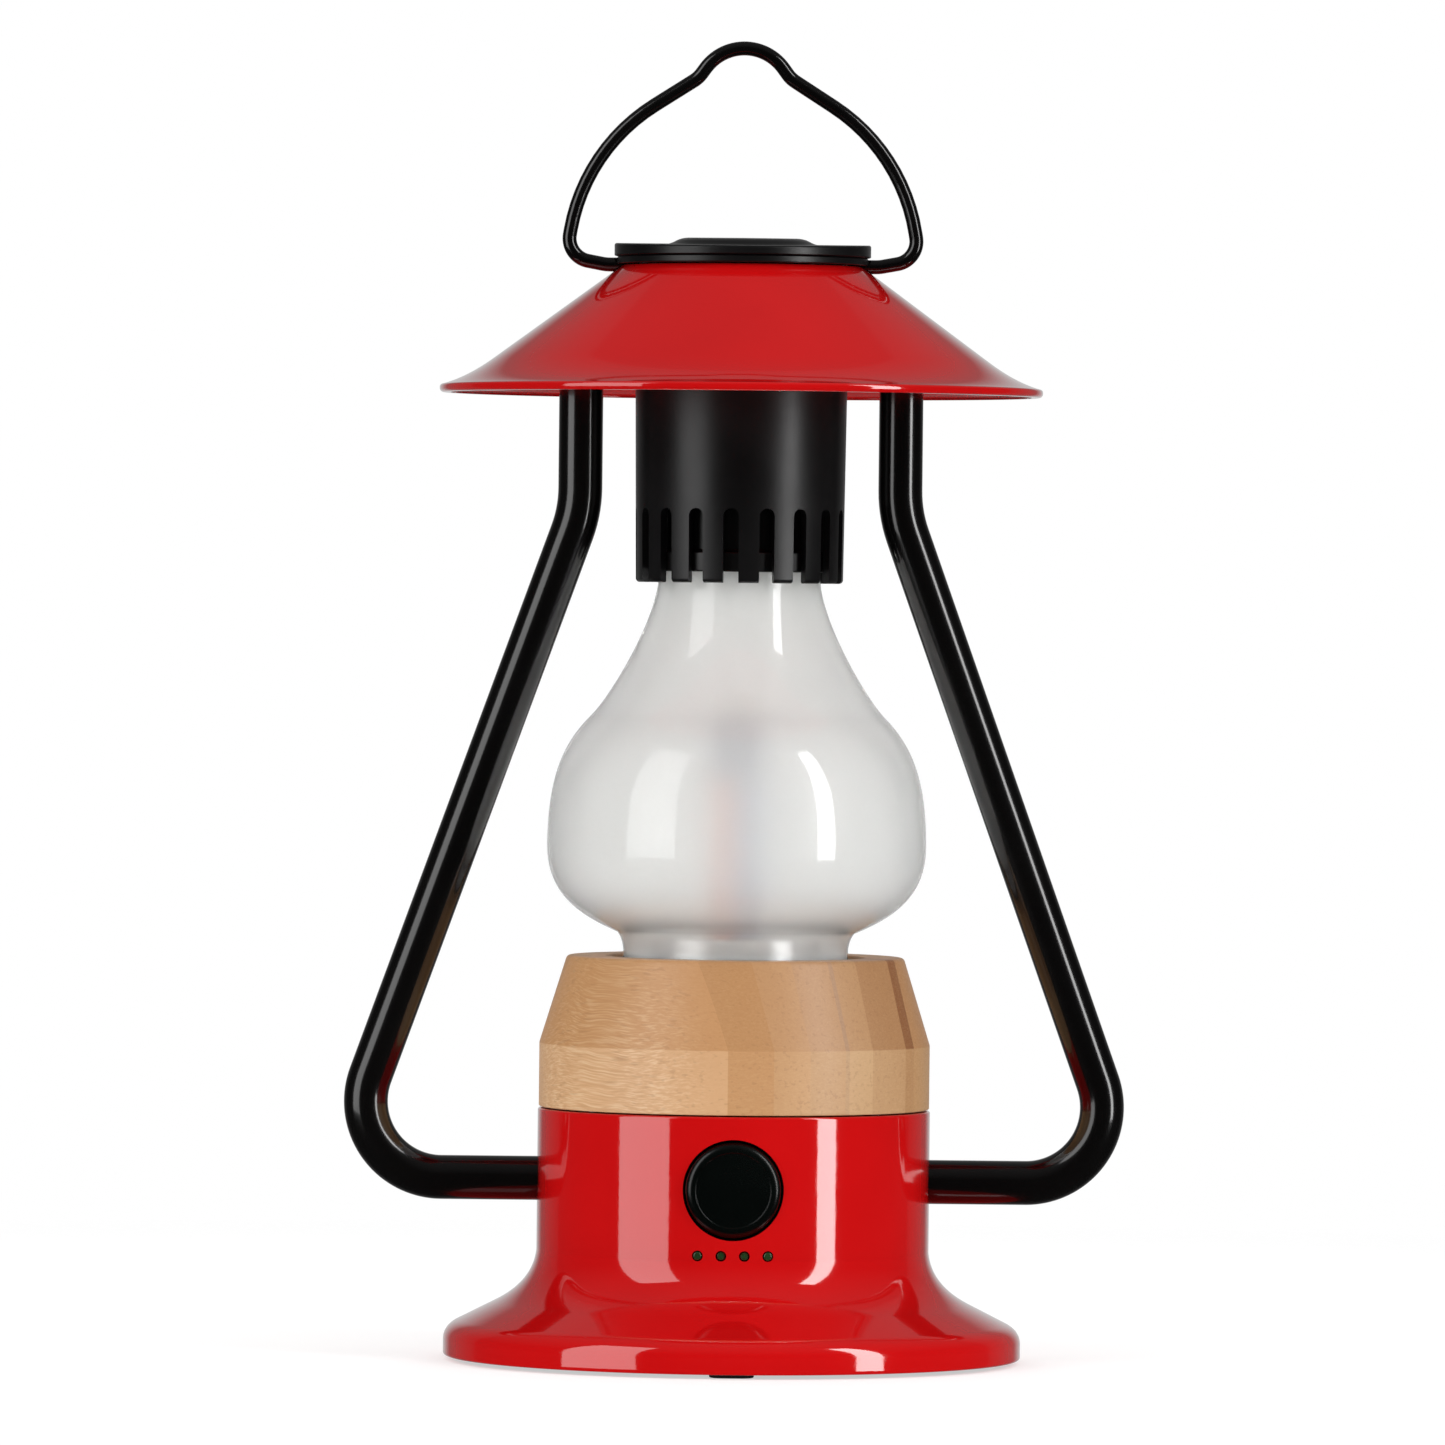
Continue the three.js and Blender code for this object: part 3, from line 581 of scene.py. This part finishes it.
def show(obj, slot, *nodes, body="lantern"):
    """Gives a piece its material and body, and hides the CAD nodes that it stands for."""
    obj.data.materials.clear()
    obj.data.materials.append(MATERIALS[slot])
    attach(obj, body)
    if nodes:
        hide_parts(*nodes)
    return obj


def framed(left, right, low, high, bend):
    """The outline of a rectangle with rounded corners."""
    return rounded([(left, low, bend), (right, low, bend), (right, high, bend), (left, high, bend)])


def cylinder_y(name, radius, x, z, low, high, sides=96):
    """A cutter along Y, from its low to its high distance in front of the axis."""
    tool = turned(name, [(0, low), (radius, low), (radius, high), (0, high)], sides, closed=False)
    return facing_front(tool, z, x)


def cylinder_x(name, radius, low, high, z, sides=64):
    """A cutter along X."""
    return swept(name, [(low, z), (high, z)], radius, sides=sides)


def base_shell():
    flare = [(65.5, 4.5)] + curve2((65.5, 4.5), (65.5, 7.4), (62.5, 8.9), 12) + [(54, 13.2)]
    flare += curve2((54, 13.2), (45.3, 17.6), (BASE_RADIUS, 25), 22)
    foot = rounded([(63.1, 3, 0), (63.1, 0.95, 0.35), (65.5, 0.95, 0.7), (65.5, 4.5, 0)], closed=False)
    head = rounded([
        (BASE_RADIUS, 25, 0), (BASE_RADIUS, BASE_TOP, 0.6), (14, BASE_TOP, 0.4), (14, 55.1, 0),
        (42.3, 55.1, 0), (42.3, 24, 0), (44.9, 17.4, 0), (52.8, 11.7, 0), (63.1, 6.5, 0), (63.1, 3, 0),
    ], closed=False)
    profile = supported(foot[:-1] + flare[:-1] + head[:-1])
    shell = turned("base_shell_skin", profile)
    add_port_recess(shell)
    combine(shell, cylinder_x("tube_way", 5.25, -60, 60, TUBE_Z, 72), "DIFFERENCE")
    combine(shell, cylinder_y("button_way", 11.3, 0, BUTTON_Z, 30, 60, 128), "DIFFERENCE")
    for x in LENS_X:
        combine(shell, cylinder_y("lens_way", 1.2, x, LENS_Z, 30, 60, 40), "DIFFERENCE")
    keep_turned_normals(shell, profile)
    return show(shell, "red_gloss", "base_shell")


def add_port_recess(shell):
    """A walled pocket behind the wall, the recess for the flap and the windows of the two sockets."""
    middle, wall_x, wall_z = 37.5, 1.1, 1.16
    outline = framed(-15, 15, 29.5, 45.5, 1.5)
    walls = [(x * wall_x, (z - middle) * wall_z + middle) for x, z in outline]
    pocket = prism("port_pocket", walls, 37.6, 46, upright=False)
    within_wall = turned("within_wall", [(0, 20), (43.2, 20), (43.2, 56), (0, 56)], closed=False)
    combine(pocket, within_wall, "INTERSECT")
    combine(shell, pocket, "UNION")
    combine(shell, prism("recess", outline, 39.3, 60, upright=False), "DIFFERENCE")
    for name, (low, high, tall) in {"type_a": (-13.1, 0.7, 3.2), "type_c": (3.6, 13.2, 2.0)}.items():
        window = framed(low, high, PORT_Z - tall, PORT_Z + tall, 0.6)
        combine(shell, prism(name, window, 30, 41, upright=False), "DIFFERENCE")


def base_plate():
    rim = supported([(0, 4.1), (62.6, 4.1), (62.6, 2.3), (62.2, 1.9), (56.4, 1.9), (55.9, 2.3), (55.1, 2.3),
                     (54.6, 1.9), (0, 1.9)], closed=False)
    plate = turned("base_plate_disc", rim, closed=False)
    plate.data.flip_normals()
    well_outline = [(0, 0), (3.5, 0), (3.5, 3.3), (1.6, 3.3), (1.6, 6), (0, 6)]
    for place in base_screw_places():
        combine(plate, turned("well", well_outline, 48, closed=False, centre=place), "DIFFERENCE")
    smooth_by_angle(plate, 30)
    return show(plate, "black_satin", "base_plate")


def base_screw_places():
    return [(BASE_SCREW_RING * math.cos(a), BASE_SCREW_RING * math.sin(a))
            for a in (math.pi / 4 * k for k in (1, 3, 5, 7))]


def screw(name, x, y, low, head, head_top, shank, top, node):
    """A pan-head screw that points up, with a cross drive in the head."""
    outline = rounded([
        (0, low, 0), (head, low, 0.6), (head, head_top, 0.1), (shank, head_top, 0), (shank, top, 0.3),
        (0, top, 0),
    ], closed=False)
    made = turned(name, outline, 40, closed=False, centre=(x, y))
    arm, wing = head * 0.62, head * 0.13
    plus = [
        (wing, wing), (arm, wing), (arm, -wing), (wing, -wing), (wing, -arm), (-wing, -arm), (-wing, -wing),
        (-arm, -wing), (-arm, wing), (-wing, wing), (-wing, arm), (wing, arm),
    ]
    drive = prism("drive", [(x + a, y + b) for a, b in plus[::-1]], low - 1, low + 0.7)
    combine(made, drive, "DIFFERENCE")
    smooth_by_angle(made, 35)
    return show(made, "steel", node)


def feet():
    outline = framed(-5, 5, -3.25, 3.25, 3.2)
    for side, quarter in {"front": 0, "right": 1, "rear": 2, "left": 3}.items():
        angle = quarter * math.pi / 2
        cos, sin = math.cos(angle), math.sin(angle)
        spots = [(a * cos - (b - FOOT_RING) * sin, a * sin + (b - FOOT_RING) * cos) for a, b in outline]
        pad = bevelled(prism(f"foot_{side}_pad", spots, 0, 1.6), 0.35, 3, 60)
        smooth_by_angle(pad, 40)
        show(pad, "rubber_black", f"foot_{side}")


def wood_collar():
    profile = supported(rounded([
        (29.1, WOOD_BOTTOM, 0.4), (44.3, WOOD_BOTTOM, 0.35), (44.3, 72.1, 1.6), (38.2, 91.9, 1.1),
        (29.1, 91.9, 0.8),
    ]))
    return show(turned("wood_collar_ring", profile), "bamboo", "wood_collar")


def globe_outline():
    line = [(25.5, 91.5), (25.5, 93)] + curve2((25.5, 93), (25.7, 96), (27, 97.3), 8)
    line += curve3((27, 97.3), (36.5, 101.3), (43, 106.3), (43, 117), 26)
    line += curve3((43, 117), (43, 133), (39.2, 140.4), (33.2, 146.4), 26)
    line += curve3((33.2, 146.4), (29.2, 150.5), (18.6, 168), (18.3, 178), 22)
    return line + [(18.3, 184), (18.3, 191)]


def globe():
    outer = globe_outline()
    inner = offset_inward(outer, GLASS_WALL)[::-1]
    profile = outer + [(17.4, 191.5)] + inner + [(24.6, 91.2)]
    return show(turned("globe_glass", profile), "frosted_glass", "globe")


def seat_and_reflector():
    seat = supported(rounded([
        (26.4, 57.8, 0), (28.7, 57.8, 0), (28.7, 91.2, 0.3), (27.8, 91.2, 0.3), (27.8, 89.2, 0),
        (3.5, 89.2, 0.3), (3.5, 86.8, 0), (26.4, 86.8, 0),
    ]))
    show(turned("globe_seat_cup", seat, 96), "black_satin", "globe_seat")
    gasket = rounded([(22.8, 89.5, 0.4), (27.4, 89.5, 0.4), (27.4, 91.1, 0.5), (22.8, 91.1, 0.5)])
    show(turned("globe_gasket_ring", gasket, 96), "rubber_black", "globe_gasket")
    dish = supported(rounded([
        (8.2, 89.6, 0), (22.2, 89.6, 1.0), (22.2, 96.4, 0.3), (21.4, 96.4, 0.3), (20.6, 90.7, 1.6),
        (8.2, 90.7, 0),
    ]))
    show(turned("reflector_dish", dish, 96), "bright_metal", "reflector_disc")


def light_post():
    cap = rounded([(0, 146.3, 0), (6.5, 146.3, 0.4), (6.5, 150.2, 3.2), (0, 150.2, 0)], closed=False)
    show(turned("led_cap_dome", cap, 64, closed=False), "white_plastic", "led_cap")


SLOTS = 18   # round the foot of the chimney


def chimney():
    profile = supported(rounded([
        (21.7, 176.6, 0.4), (23.5, 176.6, 0.9), (24, 219.5, 0), (24, 228.6, 0.8), (9, 228.6, 0.3),
        (9, 226.4, 0.3), (21.7, 226.4, 0),
    ]))
    body = turned("chimney_shell", profile, 180)
    half, slot_top = 1.75, 193.4
    arch = [(half, 170)] + [
        (half * math.cos(a), slot_top - half + half * math.sin(a)) for a in np.linspace(0, math.pi, 17)
    ] + [(-half, 170)]
    for k in range(SLOTS):
        angle = math.radians(5 + 360 / SLOTS * k)
        tool = prism("slot", arch, -30, -15, upright=False)
        cos, sin = math.cos(angle), math.sin(angle)
        for vertex in tool.data.vertices:
            a, b, c = vertex.co
            vertex.co = (a * cos + b * sin, b * cos - a * sin, c)
        combine(body, tool, "DIFFERENCE")
    keep_turned_normals(body, profile)
    return show(body, "black_satin", "chimney")


def neck_holder():
    profile = supported(rounded([
        (18.9, 179.1, 0.2), (21.3, 179.1, 0.4), (21.3, 183.4, 0.4), (20, 184.1, 0.2), (20, 197, 0.3),
        (21.4, 197, 0.2), (21.4, 199.2, 0.2), (18.9, 199.2, 0.2),
    ]))
    return show(turned("neck_holder_ring", profile, 120), "black_satin", "neck_holder")


def frame_tubes():
    for side, sign in {"right": 1, "left": -1}.items():
        bends = [(30, TUBE_Z), (90.8, TUBE_Z, 17.2), (TUBE_TOP_X, 192.6, 30), (TUBE_TOP_X, 228.7)]
        path = supported(rounded(bends, False, math.radians(3)), closed=False, inset=0.4, least=5)
        tube = swept(f"frame_tube_{side}_pipe", [(sign * x, z) for x, z in path], 5, 4, 48)
        show(tube, "black_gloss", f"frame_tube_{side}")


def bracket_and_fasteners():
    half = 6.5
    turns = np.linspace(-math.pi / 2, math.pi / 2, 17)
    ends = [(TUBE_TOP_X + half * math.cos(a), half * math.sin(a)) for a in turns]
    neck = [(17, half), (-17, half)]
    bar = ends + neck + [(-x, -y) for x, y in ends] + [(-x, -y) for x, y in neck]
    plate = prism("bracket_bar", bar, 229, 231.2)
    disc = [(0, 229), (20, 229), (20, 231.2), (0, 231.2)]
    combine(plate, turned("bracket_disc", disc, 96, closed=False), "UNION")
    plug = [(0, 219), (3.3, 219), (3.7, 219.4), (3.7, 230.5), (0, 230.5)]
    for x in (-TUBE_TOP_X, TUBE_TOP_X):
        combine(plate, turned("plug", plug, 32, closed=False, centre=(x, 0)), "UNION")
    way = [(0, 220), (1.8, 220), (1.8, 240), (0, 240)]
    for x in (-CAP_SCREW_X, CAP_SCREW_X):
        combine(plate, turned("way", way, 30, closed=False, centre=(x, 0.01)), "DIFFERENCE")
    smooth_by_angle(plate)
    show(plate, "steel", "top_bracket")
    for side, x in {"right": CAP_SCREW_X, "left": -CAP_SCREW_X}.items():
        post = rounded([(1.9, 231.5, 0.2), (4.2, 231.5, 0.4), (4.2, 245.6, 0.4), (1.9, 245.6, 0.2)])
        show(turned(f"standoff_{side}_post", supported(post), 48, centre=(x, 0)), "steel", f"standoff_{side}")
        screw(f"cap_screw_{side}_long", x, 0, 223.6, 3.2, 226.1, 1.5, 251.2, f"cap_screw_{side}")


def shade_outline():
    rim = rounded([
        (64, SHADE_RIM, 0), (68.4, SHADE_RIM, 0.9), (68.4, 220.95, 0.7), (67.2, 221.25, 0),
    ], closed=False)
    outer = curve2(rim[-1], (61.8, 222.9), (55.9, 227.3), 16)
    top = rounded([(55.9, 227.3), (27.2, SHADE_TOP, 0.35), (0, SHADE_TOP, 0)], closed=False)
    return [(0, SHADE_RIM)] + rim + outer + top[1:]


def shade_cavity():
    lip = rounded([(0, 210, 0), (65.9, 210, 0), (65.9, 219.7, 0)], closed=False)
    inner = curve2((65.9, 219.7), (61, 221), (54.9, 226.1), 14)
    return lip + inner + rounded([(54.9, 226.1), (27, 245.9, 0.8), (0, 245.9, 0)], closed=False)[1:]


def shade():
    profile = supported(shade_outline(), closed=False)
    hollow = supported(shade_cavity(), closed=False)
    body = turned("shade_cone", profile, 192, closed=False)
    combine(body, turned("cavity", hollow, 192, closed=False), "DIFFERENCE")
    for side in (1, -1):
        combine(body, cylinder_x("groove", 1.95, side * 23.5, side * 45, PIVOT_Z), "DIFFERENCE")
    keep_turned_normals(body, profile + hollow[::-1])
    return show(body, "red_gloss", "shade")


CAP_PITCH = 0.036   # how fast the top of the cap falls towards the front and the rear


def top_cap():
    low = rounded([
        (0, 248.7, 0), (28.5, 248.7, 0.3), (28.5, 250.1, 0), (28.2, 250.3, 0), (29.1, 250.6, 0.1),
        (29.1, 253.4, 0.5), (16.9, 253.4, 0),
    ], closed=False)
    crown = curve2((16.9, 253.4), (16.2, 253.5), (15.3, 254.0), 5)
    crown += curve2((15.3, 254.0), (13.9, 254.8), (12, 254.8), 8)
    profile = supported(low[:-1] + [(17.2, 253.4), (16.9, 253.4)] + crown + [(0, 254.85)], closed=False)
    body = turned("cap_disc", profile, closed=False)
    for vertex in body.data.vertices:
        share = min(max((vertex.co.z / MM - 251.5) / 1.5, 0), 1)
        vertex.co.z -= CAP_PITCH * share * abs(vertex.co.y)
    for side in (1, -1):
        combine(body, cylinder_x("groove", 1.95, side * 23.5, side * 45, PIVOT_Z), "DIFFERENCE")
    smooth_by_angle(body, 22)
    return show(body, "black_satin", "top_cap")


def bail():
    right = [(24, PIVOT_Z), (31, PIVOT_Z, 9), (40.1, 250.2, 5.2), (36.02, 274.68, 42), (10.48, 291.01, 6.5)]
    corners = right + [(0, 305.4, 10.9)] + [(-x, *rest) for x, *rest in right[::-1]]
    path = supported(rounded(corners, False, math.radians(4)), closed=False, inset=0.3, least=2.5)
    wire = swept("bail_wire", path, WIRE_RADIUS, sides=32)
    return show(wire, "black_gloss", "bail", body="handle")


def power_button():
    outline = rounded([
        (0, 38.1, 0), (3, 38.1, 0.2), (3, 38.6, 0), (12.5, 38.6, 0.2), (12.5, 40, 0.2), (10.7, 40, 0.2),
        (10.7, 45.2, 1.7), (8.5, 45.2, 0.15), (8.35, 45.0, 0.15), (8.1, 45.0, 0.1), (0, 45.1, 0),
    ], closed=False, step=math.radians(8))
    cap = turned("button_cap", supported(outline, closed=False, least=0.8), 128, closed=False)
    return show(facing_front(cap, BUTTON_Z), "black_button", "power_button", body="button")


def indicator_lenses():
    outline = rounded([
        (0, 34.6, 0), (0.95, 34.6, 0), (0.95, 38, 0), (1.7, 38, 0), (1.7, 39, 0), (0.95, 39, 0),
        (0.95, 44.0, 0.35), (0, 44.1, 0),
    ], closed=False)
    for i, x in enumerate(LENS_X):
        pin = turned(f"light_pipe_{i + 1}", supported(outline, closed=False), 40, closed=False)
        show(facing_front(pin, LENS_Z, x), "smoked_lens", f"indicator_lens_{i + 1}")


def port_cover():
    ring = turned("port_cover_flap", supported(rounded([
        (42.4, 30.2, 0.5), (44.4, 30.2, 0.5), (44.4, 44.8, 0.5), (42.4, 44.8, 0.5),
    ])), 240)
    outline = rounded([(-14.6, 29, 0), (14.6, 29, 0), (14.6, 44.8, 1.2), (-14.6, 44.8, 1.2)])
    combine(ring, prism("flap_edge", outline, 30, 60, upright=False), "INTERSECT")
    notch = rounded([(-4, 43.9, 0.6), (4, 43.9, 0.6), (4, 50, 0), (-4, 50, 0)])
    combine(ring, prism("notch", notch, 43.7, 60, upright=False), "DIFFERENCE")
    smooth_by_angle(ring, 35)
    return show(ring, "rubber_black", "port_cover", body="flap")


def socket(name, x, half, tall, blade):
    """A socket's metal can round its mouth and its tongue."""
    corner = 0.5 if tall > 2 else 1.5
    wall = 0.38
    can = framed(x - half, x + half, PORT_Z - tall, PORT_Z + tall, corner)
    mouth = framed(x - half + wall, x + half - wall, PORT_Z - tall + wall, PORT_Z + tall - wall, corner * 0.7)
    low, high = x - half + 1.3, x + half - 1.3
    tongue = [
        (low, PORT_Z - blade), (high, PORT_Z - blade), (high, PORT_Z + blade), (low, PORT_Z + blade),
    ]
    shell = prism(f"{name}_can", can, 32.3, 39, upright=False)
    combine(shell, prism("mouth", mouth, 33.2, 41, upright=False), "DIFFERENCE")
    combine(shell, prism("tongue", tongue, 33, 38.4, upright=False), "UNION")
    smooth_by_angle(shell, 35)
    return show(shell, "bright_metal", name)


def dress_cad_nodes():
    """Gives each CAD node that stays its procedural material, by the slot that the record names."""
    for entry in frame["record"]["subparts"]:
        obj = frame["nodes"][entry["node"]]
        obj.data.materials.clear()
        obj.data.materials.append(MATERIALS[entry["material_slot"]])


# ---------------------------------------------------------------- studio

# How bright the room is in reflections: by how far the way points behind the object, and by how far up
BEHIND = [(-1.0, 0.01), (0.3, 0.02), (0.56, 0.03), (0.58, 0.06), (0.9, 0.12), (1.0, 0.6)]
ABOVE = [(0.3, 0.0), (0.75, 0.06), (1.0, 0.09)]
FILL = 0.43
THROUGH_GLASS = 0.82


def area_light(name, place, target, width, height, power, mirrored=True):
    data = bpy.data.lights.new(name, "AREA")
    data.shape = "RECTANGLE"
    data.size, data.size_y = width, height
    data.energy = power
    lamp = bpy.data.objects.new(name, data)
    lamp.location = place
    lamp.rotation_euler = (Vector(target) - Vector(place)).to_track_quat("-Z", "Y").to_euler()
    lamp.visible_camera = False
    lamp.visible_glossy = mirrored
    bpy.context.scene.collection.objects.link(lamp)
    return lamp


def polar(azimuth, distance, height):
    """A place round the object; azimuth 0 is in front of it, positive to the right."""
    angle = math.radians(azimuth)
    return (distance * math.sin(angle), -distance * math.cos(angle), height)


def studio():
    floor = turned("studio_floor", [(0, 0), (400, 0), (900, 0)], 96, closed=False)
    floor.data.materials.append(floor_material())
    floor.visible_glossy = False
    area_light("softbox_left", polar(-53.5, 1.3, 0.725), (0, 0, 0.725), 0.75, 1.69, 8.6)
    area_light("strip_right", polar(55.5, 1.3, 0.725), (0, 0, 0.725), 0.27, 1.69, 10.4)
    area_light("overhead", (0, -0.3, 1.9), (0, 0, 0.1), 1.4, 1.4, 7, mirrored=False)
    area_light("rear_left", polar(-148, 1.5, 0.7), (0, 0, 0.14), 0.5, 1.4, 6, mirrored=False)
    area_light("rear_right", polar(148, 1.5, 0.7), (0, 0, 0.14), 0.5, 1.4, 6, mirrored=False)


def world():
    """White behind the object, and a room that is dim in front and light at the back and above."""
    made = bpy.data.worlds.new("studio_world")
    made.use_nodes = True
    tree = made.node_tree
    tree.nodes.clear()
    nodes, link = tree.nodes, tree.links.new
    path = nodes.new("ShaderNodeLightPath").outputs
    way = nodes.new("ShaderNodeTexCoord").outputs["Generated"]
    split = nodes.new("ShaderNodeSeparateXYZ")
    link(way, split.inputs[0])

    def level_along(axis, stops):
        curve = nodes.new("ShaderNodeFloatCurve")
        share = nodes.new("ShaderNodeMapRange")
        share.inputs["From Min"].default_value = -1
        link(split.outputs[axis], share.inputs["Value"])
        link(share.outputs["Result"], curve.inputs["Value"])
        points = curve.mapping.curves[0].points
        while len(points) < len(stops):
            points.new(0.5, 0.5)
        for point, (place, level) in zip(points, stops):
            point.location = ((place + 1) / 2, level)
            point.handle_type = "VECTOR"
        curve.mapping.extend = "HORIZONTAL"
        curve.mapping.update()
        return curve.outputs["Value"]

    both = nodes.new("ShaderNodeMath")
    link(level_along("Y", BEHIND), both.inputs[0])
    link(level_along("Z", ABOVE), both.inputs[1])

    def choose(ray, value, other):
        pick = nodes.new("ShaderNodeMix")
        pick.data_type = "FLOAT"
        link(path[ray], pick.inputs[0])
        link(other, pick.inputs[2])
        pick.inputs[3].default_value = value
        return pick.outputs[0]

    level = choose("Is Diffuse Ray", FILL, both.outputs[0])
    level = choose("Is Transmission Ray", THROUGH_GLASS, level)
    level = choose("Is Camera Ray", 1.0, level)
    background = nodes.new("ShaderNodeBackground")
    link(level, background.inputs["Strength"])
    background.inputs["Color"].default_value = (1, 1, 1, 1)
    link(background.outputs[0], nodes.new("ShaderNodeOutputWorld").inputs[0])
    bpy.context.scene.world = made


CAMERA = {"place": (-0.0035, -2.75, 0.177), "target": (-0.0035, 0, 0.1449), "lens": 302, "roll": -0.6}


def camera():
    """A long lens in front, a little above the table, as in a catalogue picture."""
    data = bpy.data.cameras.new("front_camera")
    data.sensor_width = 36
    data.lens = CAMERA["lens"]
    made = bpy.data.objects.new("front_camera", data)
    place, target = Vector(CAMERA["place"]), Vector(CAMERA["target"])
    made.location = place
    turn = (target - place).to_track_quat("-Z", "Y")
    made.rotation_mode = "QUATERNION"
    lean = Quaternion((target - place).normalized(), math.radians(CAMERA["roll"]))
    made.rotation_quaternion = lean @ turn
    bpy.context.scene.collection.objects.link(made)
    bpy.context.scene.camera = made


dress_cad_nodes()
base_shell()
base_plate()
feet()
for number, (x, y) in enumerate(base_screw_places(), 1):
    screw(f"base_screw_{number}_head", x, y, 2.1, 3, 3.1, 1.3, 10.6, f"base_screw_{number}")
wood_collar()
globe()
seat_and_reflector()
light_post()
chimney()
neck_holder()
frame_tubes()
bracket_and_fasteners()
shade()
top_cap()
bail()
power_button()
indicator_lenses()
port_cover()
socket("usb_a_port", -6.2, 6.6, 2.9, 0.9)
socket("usb_c_port", 8.4, 4.5, 1.65, 0.35)
studio()
world()
camera()
bpy.context.scene.view_settings.view_transform = "Standard"
